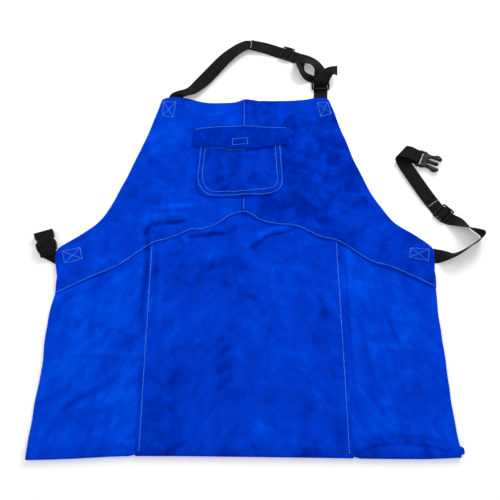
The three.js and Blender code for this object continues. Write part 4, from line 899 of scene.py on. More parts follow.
def flap_piece():
    """The flap over the pocket's mouth, open a little at its foot."""
    downs = np.linspace(0, 1, 36)
    across = np.linspace(-1, 1, 112)
    down, across = np.meshgrid(downs, across, indexing="ij")
    x = POCKET_CENTRE + across * FLAP_HALF
    top = FLAP_TOP - FLAP_HEIGHT * curve(FLAP_EDGES, "across", "top", across)
    foot = FLAP_TOP - FLAP_HEIGHT * curve(FLAP_EDGES, "across", "foot", across)
    y = mix(top, foot, down)
    x = x + 0.5 * np.sin(y / 6) * np.abs(across) ** 8
    pocket_top = POCKET_BOTTOM + POCKET_HEIGHT
    over_pocket = STACK * smooth((pocket_top + RAMP - y) / RAMP)
    middle = np.cos(across * math.pi / 2)
    opened = 1.5 * middle * smooth((down - 0.55) / 0.45) + 0.9 * middle * smooth(down / 0.5)
    ripple = 0.35 * smooth((down - 0.5) * 2) * np.sin(x / 9 + 1) * np.sin(x / 23)
    z = relief(x, y) + over_bib(x) + over_pocket + opened + ripple + FLAP_REST
    z = z + seam_groove(distance_to(lowered(FLAP_STITCH, FLAP_DROP), x, y), 1.8)
    z = z + 1.4 * seam_groove(distance_to(lowered(FLAP_PATCH, FLAP_DROP), x, y), 1.6)
    return leather_piece("pocket_flap", x, y, z, "smooth_suede")


# Webbing: a flat band swept through its sections

SECTIONS_A_STEP = 4


def placed(rows, origin, width, height):
    """The sections of one table, smoothed, in millimetres."""
    values = np.stack([
        origin.x + rows["across"] * width,
        origin.y + rows["up"] * height,
        rows["z"] * WEBBING + FLOOR_GAP,
        *(rows[name] for name in ("heading", "roll", "grow")),
    ], -1)
    last = len(values) - 1
    made = []
    for i in range(last + 1):
        steps = int(rows["steps"][i]) * SECTIONS_A_STEP if i < last else 1
        four = [values[min(last, max(0, i + k))] for k in (-1, 0, 1, 2)]
        made += [rounded(*four, step / steps) for step in range(steps)]
    return made


def section(x, y, z, heading):
    return np.array([x, y, z, heading, 0, 1], float)


def bar_turn(bar, going, heading, radius, sign):
    """Half a turn round a bar, from under it to over it, or back when sign is -1."""
    forward = math.radians(going)
    made = []
    for i in range(TURN_STEPS + 1):
        angle = math.pi * i / TURN_STEPS
        reach = radius * math.sin(angle)
        x, y = bar["x"] + math.cos(forward) * reach, bar["y"] + math.sin(forward) * reach
        made.append(section(x, y, bar["z"] - sign * radius * math.cos(angle), heading))
    return made


def slider_run(slider, z, lift, slack):
    """Straight through a slider: under its end bars and over its centre bar."""
    forward = math.radians(slider["heading"])
    slot_end = SLIDER_LENGTH / 2 - SLIDER_BAR - 0.7
    bar_end = SLIDER_CENTRE_BAR / 2 + 0.3
    made = []
    for along in np.linspace(-SLIDER_LENGTH / 2 - 1, SLIDER_LENGTH / 2 + 1, 33):
        climb = float(np.clip((slot_end - abs(along)) / (slot_end - bar_end), 0, 1))
        height = z + lift * climb + slack * math.sin(math.pi * climb)
        x = slider["x"] + math.cos(forward) * along
        y = slider["y"] + math.sin(forward) * along
        made.append(section(x, y, height, slider["heading"]))
    return made


# The webbing's own section: across is a share of half its width, proud of half its thickness.
WEB_SECTION = [
    (-1, 0), (-0.985, 0.62), (-0.95, 0.95), (-0.85, 1), (-0.5, 1), (0, 1), (0.5, 1), (0.85, 1),
    (0.95, 0.95), (0.985, 0.62), (1, 0), (0.985, -0.62), (0.95, -0.95), (0.85, -1), (0.5, -1),
    (0, -1), (-0.5, -1), (-0.85, -1), (-0.95, -0.95), (-0.985, -0.62),
]


def webbing_piece(node, sections):
    """A strap: the webbing's section swept through all of its places, with both ends closed."""
    sections = np.array(sections)
    centres = sections[:, :3]
    points, uv = [], []
    travelled = 0
    for i, (x, y, z, heading, roll, grow) in enumerate(sections):
        ahead = centres[min(len(centres) - 1, i + 1)] - centres[max(0, i - 1)]
        heading, roll = math.radians(heading), math.radians(roll)
        across = np.array([
            math.sin(heading) * math.cos(roll), -math.cos(heading) * math.cos(roll), math.sin(roll)])
        normal = np.cross(across, ahead)
        normal /= np.linalg.norm(normal)
        half = WEBBING_WIDTH / 2 * grow
        centre = np.array([x, y, z + half * abs(math.sin(roll))])
        travelled += float(np.linalg.norm(centres[i] - centres[i - 1])) if i else 0
        for share, proud in WEB_SECTION:
            points.append(centre + across * share * half + normal * proud * WEBBING / 2)
            uv.append((share * WEBBING_WIDTH / 2 * MM, travelled * MM))
    faces = tube_faces(len(sections), len(WEB_SECTION), 0)
    piece = mesh_piece(f"{node}_webbing", to_frame(points), faces, uv)
    face_outwards(piece)
    bpy.ops.object.shade_smooth_by_angle(angle=math.radians(50))
    piece.data.materials.append(bpy.data.materials["ribbed_webbing"])
    settle_piece(piece, node)
    return piece


def bar_of(piece, inset):
    """The middle of a bar that lies across a piece of hardware, some way along it."""
    turn = math.radians(piece["heading"])
    return {**piece, "x": piece["x"] + inset * math.cos(turn), "y": piece["y"] + inset * math.sin(turn)}


def over_slider(slider):
    return slider["z"] + SLIDER_THICKNESS + WEBBING_GAP + WEBBING / 2 - WEB_LOW


def neck_strap_sections():
    top_bar = {"x": RING["x"], "y": RING["y"] + RING_LENGTH / 2 - RING_BAR / 2, "z": RING["z"]}
    lift = over_slider(NECK_SLIDER)
    leg, inner, outer, tail = (
        placed(rows, NECK_LEFT, NECK_SPAN, NECK_REACH)
        for rows in (NECK_LEG, NECK_INNER, NECK_OUTER, NECK_TAIL))
    return [
        *leg, *slider_run(NECK_SLIDER, WEB_LOW, lift, 0), *inner,
        *bar_turn(top_bar, -90, -90, wrap_radius(RING_BAR, RING_BAR), 1),
        *outer, *reversed(slider_run(NECK_SLIDER, WEB_SECOND, lift, 0.9)), *tail,
    ]


def waist_strap_sections():
    bar = bar_of(MALE_BUCKLE, MALE_BAR / 2)
    going = MALE_BUCKLE["heading"]
    side, diagonal, end = (
        placed(rows, WAIST_RIGHT, WAIST_OUT, WAIST_RISE) for rows in (WAIST_SIDE, WAIST_DIAGONAL, WAIST_END))
    turn = bar_turn(bar, going, going + 180, wrap_radius(MALE_BAR, MALE_THICKNESS), -1)
    through = slider_run(WAIST_SLIDER, WEB_LOW, over_slider(WAIST_SLIDER), 0)
    return [*side, *through, *diagonal, *turn, *end]


def buckle_tab_sections():
    bar = bar_of(FEMALE_BUCKLE, FEMALE_BAR / 2)
    going = FEMALE_BUCKLE["heading"]
    start, end = (
        placed(rows, WAIST_LEFT, WEBBING_WIDTH, WEBBING_WIDTH) for rows in (BUCKLE_TAB, BUCKLE_TAB_END))
    turn = bar_turn(bar, going, going + 180, wrap_radius(FEMALE_BAR, FEMALE_BAR_HEIGHT), 1)
    return [*start, *turn, *end]


# Hardware, modelled about its own middle or bar and then laid where it belongs

def traced_plate(name, outline, thickness):
    """A plate drawn by extruding one corner round an outline in millimetres, filled and drawn up."""
    bpy.ops.object.select_all(action="DESELECT")
    bpy.ops.mesh.primitive_plane_add(size=MM, location=(0, 0, 0))
    piece = bpy.context.object
    piece.name = piece.data.name = name
    bpy.ops.object.mode_set(mode="EDIT")
    bpy.ops.mesh.select_mode(type="VERT")
    bpy.ops.mesh.select_all(action="SELECT")
    bpy.ops.mesh.merge(type="CENTER")
    points = [Vector((x, y, -thickness / 2)) * MM for x, y in outline]
    bpy.ops.transform.translate(value=points[0])
    for a, b in zip(points, points[1:]):
        bpy.ops.mesh.extrude_region_move(TRANSFORM_OT_translate={"value": b - a})
    bpy.ops.mesh.select_all(action="SELECT")
    bpy.ops.mesh.edge_face_add()
    bpy.ops.mesh.select_all(action="SELECT")
    bpy.ops.mesh.extrude_region_move(TRANSFORM_OT_translate={"value": (0, 0, thickness * MM)})
    bpy.ops.mesh.select_all(action="SELECT")
    bpy.ops.mesh.normals_make_consistent(inside=False)
    bpy.ops.object.mode_set(mode="OBJECT")
    return piece


def block(length, width, height, place, bevel=0, segments=3):
    """A block in millimetres with its edges rounded, to cut with or to join."""
    bpy.ops.object.select_all(action="DESELECT")
    bpy.ops.mesh.primitive_cube_add(
        size=1, location=Vector(place) * MM, scale=(length * MM, width * MM, height * MM))
    piece = bpy.context.object
    bpy.ops.object.transform_apply(location=True, rotation=True, scale=True)
    if bevel:
        bpy.ops.object.mode_set(mode="EDIT")
        bpy.ops.mesh.select_all(action="SELECT")
        bpy.ops.mesh.bevel(offset=bevel * MM, segments=segments, affect="EDGES")
        bpy.ops.object.mode_set(mode="OBJECT")
    return piece


def combine(piece, operation, *shape):
    """Cuts a block out of a piece, or joins it on."""
    other = block(*shape)
    apply_modifier(piece, "BOOLEAN", operation=operation, solver="EXACT", object=other)
    bpy.data.objects.remove(other)


def round_edges(piece, width, segments=3):
    apply_modifier(
        piece, "BEVEL", width=width * MM, segments=segments, limit_method="ANGLE",
        angle_limit=math.radians(35), miter_outer="MITER_ARC", use_clamp_overlap=True)


def lay(piece, node, place):
    """Puts a finished piece of hardware where it lies, with its place in its mesh."""
    if len(piece.data.polygons) < 20:
        raise RuntimeError(f"{piece.name} was not modelled")
    piece.location = Vector(to_frame([(place["x"], place["y"], place["z"])])[0])
    piece.rotation_euler = (0, 0, math.radians(place["heading"]))
    activate(piece)
    bpy.ops.object.transform_apply(location=True, rotation=True, scale=True)
    bpy.ops.object.mode_set(mode="EDIT")
    bpy.ops.mesh.select_all(action="SELECT")
    bpy.ops.mesh.remove_doubles(threshold=0.005 * MM)
    bpy.ops.mesh.normals_make_consistent(inside=False)
    bpy.ops.object.mode_set(mode="OBJECT")
    bpy.ops.object.shade_smooth_by_angle(angle=math.radians(32))
    piece.data.materials.clear()
    piece.data.materials.append(bpy.data.materials["moulded_plastic"])
    settle_piece(piece, node)


CORNER_STEPS = 6


def rounded_outline(length, width, corner):
    points = []
    for sign_x, sign_y, start in ((1, 1, 0), (-1, 1, 90), (-1, -1, 180), (1, -1, 270)):
        for i in range(CORNER_STEPS + 1):
            angle = math.radians(start + 90 * i / CORNER_STEPS)
            points.append((
                sign_x * (length / 2 - corner) + corner * math.cos(angle),
                sign_y * (width / 2 - corner) + corner * math.sin(angle),
            ))
    return points


def mirrored_outline(outline, length, width):
    side = [(along * length, half * width) for along, half in outline]
    return [*side, *[(x, -y) for x, y in reversed(side)]]


def slider_piece(node, place):
    """A three-bar slider: a plate with two slots, which leave its end bars and centre bar."""
    outline = rounded_outline(SLIDER_LENGTH, SLIDER_WIDTH, 3)
    piece = traced_plate(f"{node}_plastic", outline, SLIDER_THICKNESS)
    slot = (SLIDER_LENGTH - SLIDER_CENTRE_BAR) / 2 - SLIDER_BAR
    middle = (SLIDER_CENTRE_BAR + slot) / 2
    for sign in (-1, 1):
        combine(piece, "DIFFERENCE", slot, SLOT_WIDTH, 3 * SLIDER_THICKNESS, (sign * middle, 0, 0), 0.7)
    round_edges(piece, 0.55)
    lay(piece, node, {**place, "z": place["z"] + SLIDER_THICKNESS / 2})


def ring_piece():
    piece = traced_plate("neck_ring_plastic", rounded_outline(RING_LENGTH, RING_WIDTH, 3.2), RING_BAR)
    combine(piece, "DIFFERENCE", RING_LENGTH - 2 * RING_BAR, SLOT_WIDTH, 3 * RING_BAR, (0, 0, 0), 0.8)
    round_edges(piece, 0.9, 4)
    lay(piece, "neck_ring", RING)


def male_buckle_piece():
    """The pronged half: strap bar, shoulders, two springing arms with barbs and the middle tongue."""
    length, width, face = MALE_LENGTH, BUCKLE_WIDTH, MALE_THICKNESS / 2
    piece = traced_plate("buckle_male_plastic", mirrored_outline(MALE_OUTLINE, length, width), MALE_THICKNESS)
    slot_x = MALE_BAR + BUCKLE_SLOT / 2
    combine(piece, "DIFFERENCE", BUCKLE_SLOT, SLOT_WIDTH, 3 * MALE_THICKNESS, (slot_x, 0, 0), 0.7)
    for sign in (-1, 1):
        thinned = (0.68 * length, 0, sign * face)
        combine(piece, "DIFFERENCE", 0.5 * length, 0.24 * width, 2, thinned, 0.4)
        for arm in (-1, 1):
            recess = (0.62 * length, arm * 0.33 * width, sign * (face + 0.35))
            combine(piece, "DIFFERENCE", 0.36 * length, 1.9, 2, recess, 0.3)
    round_edges(piece, 0.5)
    for k in range(3):
        rib = (0.23 * length + 1.9 * k, 0, face - 0.1)
        combine(piece, "UNION", 0.8, 0.6 * width, 1.0, rib, 0.25, 2)
    lay(piece, "buckle_male", MALE_BUCKLE)


def female_buckle_piece():
    """The socket half: a hollow body with side windows, a recessed top and the strap's bar."""
    length, width, face = FEMALE_LENGTH, BUCKLE_WIDTH, BUCKLE_THICKNESS / 2
    outline = mirrored_outline(FEMALE_OUTLINE, length, width)
    piece = traced_plate("buckle_female_plastic", outline, BUCKLE_THICKNESS)
    round_edges(piece, 1.3, 4)
    socket = (length - SOCKET_DEPTH / 2 + 1, 0, 0)
    slot = (FEMALE_BAR + BUCKLE_SLOT / 2, 0, 0)
    bar_back = (BUCKLE_THICKNESS - FEMALE_BAR_HEIGHT) / 2
    bar_z = (FEMALE_BAR_HEIGHT + bar_back) / 2
    combine(piece, "DIFFERENCE", SOCKET_DEPTH + 2, SOCKET_WIDTH, SOCKET_HEIGHT, socket, 0.6)
    combine(piece, "DIFFERENCE", BUCKLE_SLOT, SLOT_WIDTH, 2 * BUCKLE_THICKNESS, slot, 0.7)
    for sign in (-1, 1):
        combine(piece, "DIFFERENCE", 2 * FEMALE_BAR, SLOT_WIDTH, bar_back, (0, 0, sign * bar_z))
        recess = (0.79 * length, 0, sign * (face + 0.1))
        combine(piece, "DIFFERENCE", 0.34 * length, 0.62 * width, 1.2, recess, 0.4)
        for k in range(4):
            rib = (0.31 * length + 1.7 * k, 0, sign * (face - 0.1))
            combine(piece, "UNION", 0.7, 0.55 * width, 0.9, rib, 0.22, 2)
    lay(piece, "buckle_female", FEMALE_BUCKLE)


# Sewing: stitches laid on whatever surface is uppermost below them

def smooth_line(points):
    """A rounded line through given points, sampled about every millimetre."""
    points = np.array(points, float)
    padded = np.vstack([2 * points[0] - points[1], points, 2 * points[-1] - points[-2]])
    made = []
    for i in range(1, len(padded) - 2):
        count = max(2, int(np.linalg.norm(padded[i + 1] - padded[i])))
        made += [rounded(*padded[i - 1:i + 3], t) for t in np.linspace(0, 1, count, endpoint=False)]
    made.append(points[-1])
    return np.array(made)


def stitch_places(line, pitch):
    """Middles and directions of the stitches along a line in plan."""
    line = np.array(line, float)
    lengths = np.concatenate([[0], np.cumsum(np.linalg.norm(np.diff(line, axis=0), axis=1))])
    count = max(1, round(lengths[-1] / pitch))
    middles = (np.arange(count) + 0.5) * lengths[-1] / count

    def at(where):
        return np.stack([np.interp(where, lengths, line[:, k]) for k in (0, 1)], -1)

    return at(middles), at(middles + pitch / 4) - at(middles - pitch / 4)


# The rings of one stitch: share of its half length, thickness and rise as shares of the thread's
STITCH_RINGS = [(-1, 0.45, -0.9), (-0.72, 0.95, -0.1), (0, 1.05, 0.12), (0.72, 0.95, -0.1), (1, 0.45, -0.9)]
STITCH_SIDES = 6
STITCH_SINK = 0.15


def stitched(name, lines, surfaces, thread_name):
    """One mesh of thread: a short arched capsule for each stitch of each line."""
    pitch, length, thread = sizes().stitch_pitch / MM, sizes().stitch_length / MM, sizes().thread / MM
    depsgraph = bpy.context.evaluated_depsgraph_get()
    trees = [BVHTree.FromObject(required(surface), depsgraph) for surface in surfaces]
    above = 60 * MM

    def height_at(x, y):
        start = Vector(to_frame([(x, y, 0)])[0]) + Vector((0, 0, above))
        hits = [tree.ray_cast(start, Vector((0, 0, -1)))[0] for tree in trees]
        heights = [hit.z / MM for hit in hits if hit is not None]
        if not heights:
            raise RuntimeError(f"{name} has a stitch off the piece at {x:.1f}, {y:.1f}")
        return max(heights)

    random = np.random.default_rng(7)
    points, faces = [], []
    for line in lines:
        middles, directions = stitch_places(line, pitch)
        for middle, direction in zip(middles, directions):
            direction = direction / np.linalg.norm(direction)
            turn = random.normal(0, 0.06)
            cos, sin = math.cos(turn), math.sin(turn)
            direction = np.array([[cos, -sin], [sin, cos]]) @ direction
            middle = middle + random.normal(0, 0.1, 2)
            half = length / 2 * random.uniform(0.88, 1.06)
            ends = [middle - direction * half, middle + direction * half]
            z0, z1 = (height_at(*end) for end in ends)
            base = len(points)
            side = np.array([-direction[1], direction[0], 0])
            for share, fat, lift in STITCH_RINGS:
                centre = np.array([*(middle + direction * half * share), mix(z0, z1, (share + 1) / 2)])
                centre[2] += thread / 2 * (lift + 1) - STITCH_SINK
                for k in range(STITCH_SIDES):
                    angle = 2 * math.pi * k / STITCH_SIDES
                    offset = side * math.cos(angle) + np.array([0, 0, 1]) * math.sin(angle)
                    points.append(centre + offset * thread / 2 * fat)
            faces += tube_faces(len(STITCH_RINGS), STITCH_SIDES, base)
    piece = mesh_piece(name, to_frame(points), faces)
    face_outwards(piece)
    bpy.ops.object.shade_smooth()
    piece.data.materials.append(bpy.data.materials[thread_name])
    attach(piece, "root")


def lowered(line, drop):
    """A line seen in the photo, brought towards the viewer as far as its height hid."""
    return np.asarray(line, float) - (0, drop)


def crossed_box(corners):
    """A sewn rectangle with its two diagonals, and a few stitches sewn twice at one corner."""
    a, b, c, d = lowered(corners, BOX_DROP)
    return [[a, b, c, d, a], [a, c], [b, d], [b, mix(b, c, 0.35)]]


def band_line(point, heading, half):
    """A line across a webbing band at a point on it."""
    turn = math.radians(heading)
    point = np.array(point)
    side = np.array([math.sin(turn), -math.cos(turn)]) * half
    return np.array([point - side, point + side])


def seam_lines():
    """The stitched lines of the skirt's seams, the chevron and the bib's middle seam."""
    falls = np.linspace(0.017, 0.995, 60)
    left, right = (
        np.stack(skirt_plan(np.full(60, x), falls), -1)
        for x in (LEFT_SEAM + LEFT_STITCH_INSET, RIGHT_SEAM - RIGHT_STITCH_INSET))
    across = np.linspace(LEFT_EDGE + 2, RIGHT_EDGE - 2, 160)
    chevron = np.stack([across, chevron_y(across) - BIB_EDGE_DROP + STITCH_INSET], -1)
    seam_x = BIB_SEAM + STITCH_INSET
    upper = np.array([(seam_x, float(bib_top_y(seam_x)) - 2), (seam_x, FLAP_TOP + 1)])
    lower = np.array([(seam_x, POCKET_BOTTOM - 1.5), (seam_x, CHEVRON_APEX + 1)])
    return [left, right, chevron, upper, lower]


# Materials

def new_group(name, inputs):
    """A node group with a Vector and its own inputs, which gives a colour, roughness and normal."""
    group = bpy.data.node_groups.new(name, "ShaderNodeTree")
    for socket, kind, value in (("Vector", "Vector", (0, 0, 0)), *inputs):
        made = group.interface.new_socket(name=socket, in_out="INPUT", socket_type=f"NodeSocket{kind}")
        made.default_value = value
    for socket, kind in (("Color", "Color"), ("Roughness", "Float"), ("Normal", "Vector")):
        group.interface.new_socket(name=socket, in_out="OUTPUT", socket_type=f"NodeSocket{kind}")
    return group, group.nodes.new("NodeGroupInput").outputs


def feed(tree, socket, value):
    """Gives a socket a plain value, or links another node's output to it."""
    if isinstance(value, (int, float, tuple)):
        socket.default_value = value
    else:
        tree.links.new(value, socket)


def put_out(group, colour, roughness, height, strength, distance):
    """Ends a group: its height becomes a bump, and all three outputs are linked."""
    bump = group.nodes.new("ShaderNodeBump")
    for name, value in (("Distance", distance), ("Strength", strength), ("Height", height)):
        feed(group, bump.inputs[name], value)
    out = group.nodes.new("NodeGroupOutput").inputs
    for name, value in (("Color", colour), ("Roughness", roughness), ("Normal", bump.outputs["Normal"])):
        group.links.new(value, out[name])
    return group


def math_node(tree, operation, *values):
    node = tree.nodes.new("ShaderNodeMath")
    node.operation = operation
    for socket, value in zip(node.inputs, values):
        feed(tree, socket, value)
    return node.outputs[0]


def plus(tree, a, b):
    return math_node(tree, "ADD", a, b)


def times(tree, a, b):
    return math_node(tree, "MULTIPLY", a, b)


def noise_node(tree, vector, scale, detail, roughness=0.55, distortion=0.0):
    node = tree.nodes.new("ShaderNodeTexNoise")
    names = ("Vector", "Scale", "Detail", "Roughness", "Distortion")
    for name, value in zip(names, (vector, scale, detail, roughness, distortion)):
        feed(tree, node.inputs[name], value)
    return node.outputs["Fac"]


def ranged(tree, value, low, high, to_low=0.0, to_high=1.0):
    """Brings a value from one range into another, smoothly."""
    node = tree.nodes.new("ShaderNodeMapRange")
    node.interpolation_type = "SMOOTHSTEP"
    names = ("Value", "From Min", "From Max", "To Min", "To Max")
    for name, number in zip(names, (value, low, high, to_low, to_high)):
        feed(tree, node.inputs[name], number)
    return node.outputs["Result"]


def mixed_colour(tree, share, a, b):
    node = tree.nodes.new("ShaderNodeMix")
    node.data_type = "RGBA"
    for name, value in (("Factor_Float", share), ("A_Color", a), ("B_Color", b)):
        feed(tree, next(item for item in node.inputs if item.identifier == name), value)
    return next(item for item in node.outputs if item.identifier == "Result_Color")


def nap_group():
    """Suede: clouds and streaks of brushed nap, flecks, the painted shade and painted light that the Tone
    input brings from the creases, patches and fold, and the pile's bump.
    """
    group, given = new_group("Suede nap", [
        *((name, "Color", (0, 0, 1, 1)) for name in ("Base", "Brushed and lit", "Shaded")),
        ("Tone", "Float", 0.0), ("Cloudiness", "Float", 1.0), ("Nap scale", "Float", 800.0),
        ("Nap height", "Float", 0.5),
    ])
    vector = given["Vector"]
    mapping = group.nodes.new("ShaderNodeMapping")
    mapping.inputs["Scale"].default_value = (1.0, 0.45, 1.0)
    mapping.inputs["Rotation"].default_value = (0, 0, 0.5)
    group.links.new(vector, mapping.inputs["Vector"])
    stretched = mapping.outputs["Vector"]
    nap = noise_node(group, vector, given["Nap scale"], 3, 0.7)
    fibres = noise_node(group, stretched, 330, 4, 0.7, 0.6)
    layers = [
        (noise_node(group, vector, 13, 4, 0.6, 0.5), 0.9),
        (noise_node(group, stretched, 40, 4, 0.5, 0.9), 0.55),
        (noise_node(group, vector, 42, 5, 0.6, 0.4), 1.3),
        (fibres, 0.3),
        (nap, 0.3),
    ]
    total = None
    for layer, weight in layers:
        part = times(group, math_node(group, "SUBTRACT", layer, 0.5), weight)
        total = part if total is None else plus(group, total, part)
    total = times(group, total, given["Cloudiness"])
    # Tone adds painted shade and painted light from the creases, broad patches and bottom fold
    total = plus(group, total, times(group, given["Tone"], 0.34))
    # The darker end stands for nap lying the other way and for painted shade, the lighter end for brushed nap
    # and for painted light
    shade = mixed_colour(group, ranged(group, total, -0.62, 0.05), given["Shaded"], given["Base"])
    shade = mixed_colour(group, ranged(group, total, -0.05, 0.62), shade, given["Brushed and lit"])
    roughness = ranged(group, nap, 0.3, 0.7, 0.86, 1.0)
    height = plus(group, nap, times(group, fibres, 1.8))
    return put_out(group, shade, roughness, height, given["Nap height"], 0.0012)


def arches(tree, value):
    """One rounded rise from each whole number to the next."""
    return math_node(tree, "SINE", times(tree, math_node(tree, "FRACT", value), math.pi))


def weave_group():
    """Webbing: upright ribs crossed by short ridges that step from rib to rib, with painted highlight on the
    raised yarn.
    """
    group, given = new_group("Ribbed weave", [
        ("Yarn", "Color", (0, 0, 0, 1)), ("Lit yarn", "Color", (0.1, 0.1, 0.1, 1)),
        ("Rib pitch", "Float", 1.25 * MM), ("Ridge pitch", "Float", 1.7 * MM), ("Weave height", "Float", 0.8),
    ])
    parts = group.nodes.new("ShaderNodeSeparateXYZ")
    group.links.new(given["Vector"], parts.inputs[0])
    rib = math_node(group, "DIVIDE", parts.outputs["X"], given["Rib pitch"])
    stagger = times(group, math_node(group, "MODULO", math_node(group, "FLOOR", rib), 2.0), 0.5)
    ridge = plus(group, math_node(group, "DIVIDE", parts.outputs["Y"], given["Ridge pitch"]), stagger)
    height = times(group, arches(group, rib), plus(group, times(group, arches(group, ridge), 0.6), 0.4))
    fuzz = noise_node(group, given["Vector"], 1500, 3, 0.7)
    height = plus(group, height, times(group, fuzz, 0.25))
    uneven_highlight = noise_node(group, given["Vector"], 60, 4, 0.6)
    # Painted highlight: the raised yarn takes the lit colour, more strongly in some patches than in others
    raised = ranged(group, height, 0.35, 1.0, 0.15, 0.9)
    lit = times(group, raised, ranged(group, uneven_highlight, 0.3, 0.75, 0.5, 1.0))
    shade = mixed_colour(group, lit, given["Yarn"], given["Lit yarn"])
    roughness = ranged(group, fuzz, 0.3, 0.7, 0.68, 0.86)
    return put_out(group, shade, roughness, height, given["Weave height"], 0.00035)


def plastic_group():
    """Moulded plastic: a fine grain with a few scuffs."""
    group, given = new_group("Moulded skin", [
        ("Body", "Color", (0, 0, 0, 1)), ("Scuffed", "Color", (0.1, 0.1, 0.1, 1)),
    ])
    grain = noise_node(group, given["Vector"], 2600, 2, 0.5)
    scuffs = noise_node(group, given["Vector"], 240, 5, 0.75, 1.2)
    shade = mixed_colour(group, ranged(group, scuffs, 0.56, 0.74, 0, 0.35), given["Body"], given["Scuffed"])
    return put_out(group, shade, ranged(group, scuffs, 0.35, 0.7, 0.26, 0.46), grain, 0.4, 0.00008)


def thread_group():
    """Thread: fine strands, soiled here and there."""
    group, given = new_group("Twisted thread", [
        ("Thread", "Color", (1, 1, 1, 1)), ("Soiled", "Color", (0.5, 0.5, 0.6, 1)),
    ])
    soil = noise_node(group, given["Vector"], 55, 4, 0.6)
    strands = noise_node(group, given["Vector"], 1800, 2, 0.5)
    shade = mixed_colour(group, ranged(group, soil, 0.38, 0.66), given["Thread"], given["Soiled"])
    return put_out(group, shade, ranged(group, strands, 0.3, 0.7, 0.6, 0.8), strands, 0.6, 0.0002)


def new_material(name, group, coordinates, values, shader_values):
    """A material whose Principled shader takes colour, roughness and normal from one node group."""
    material = bpy.data.materials.new(name)
    material.use_nodes = True
    tree = material.node_tree
    shader = tree.nodes["Principled BSDF"]
    source = tree.nodes.new("ShaderNodeTexCoord")
    pattern = tree.nodes.new("ShaderNodeGroup")
    pattern.name = "pattern"
    pattern.node_tree = group
    tree.links.new(source.outputs[coordinates], pattern.inputs["Vector"])
    for socket, value in values.items():
        pattern.inputs[socket].default_value = value
    for socket, value in shader_values.items():
        shader.inputs[socket].default_value = value
    for output, socket in (("Color", "Base Color"), ("Roughness", "Roughness"), ("Normal", "Normal")):
        tree.links.new(pattern.outputs[output], shader.inputs[socket])
    return tree


def opaque(colour, gain=1.0):
    return tuple(min(1.0, value * gain) for value in colour) + (1.0,)


def make_materials():
    chosen = colours()
    nap, weave, plastic, thread = nap_group(), weave_group(), plastic_group(), thread_group()
    suede_sheen = {
        "Specular IOR Level": 0.0, "Sheen Weight": 0.18, "Sheen Roughness": 0.55,
        "Sheen Tint": (0.0, 0.12, 0.9, 1.0),
    }
    base, light, dark = opaque(chosen.suede), opaque(chosen.suede_light), opaque(chosen.suede_dark)
    brushed = {"Base": base, "Brushed and lit": light, "Shaded": dark}
    for name, values in (
        ("brushed_suede", brushed),
        ("smooth_suede", {**brushed, "Cloudiness": 0.6, "Nap height": 0.3}),
        ("cut_suede", {"Base": light, "Brushed and lit": opaque(chosen.suede_light, 1.5), "Shaded": base}),
    ):
        tree = new_material(name, nap, "UV", values, suede_sheen)
        # The tone attribute holds painted shade and painted light as well as the nap's own tone
        tone = tree.nodes.new("ShaderNodeAttribute")
        tone.attribute_name = "tone"
        tree.links.new(tone.outputs["Fac"], tree.nodes["pattern"].inputs["Tone"])
    new_material("ribbed_webbing", weave, "UV", {
        "Yarn": opaque(chosen.webbing), "Lit yarn": opaque(chosen.webbing, 4.2),
    }, {"Specular IOR Level": 0.09, "Sheen Weight": 0.014, "Sheen Roughness": 0.4})
    new_material("moulded_plastic", plastic, "Object", {
        "Body": opaque(chosen.plastic), "Scuffed": opaque(chosen.plastic, 2.4),
    }, {"Specular IOR Level": 0.13})
    for name, colour_of, clean, soiled, gloss in (
        ("seam_thread", chosen.thread, 1, 0.72, 0.06),
        ("strap_thread", chosen.marker, 1, 0.8, 0.25),
        ("dark_thread", chosen.webbing, 8, 5, 0.25),
    ):
        values = {"Thread": opaque(colour_of, clean), "Soiled": opaque(colour_of, soiled)}
        new_material(name, thread, "Object", values, {"Specular IOR Level": gloss})


def required(name):
    piece = bpy.data.objects.get(name)
    if piece is None:
        raise RuntimeError(f"{name} has to be built first")
    return piece


# Operators: the stage and each piece or group of like pieces

class APRON_OT_materials(bpy.types.Operator):
    """Makes the suede, webbing, plastic and thread"""
    bl_idname = "apron.materials"
    bl_label = "Materials"

    def execute(self, context):
        make_materials()
        return {"FINISHED"}


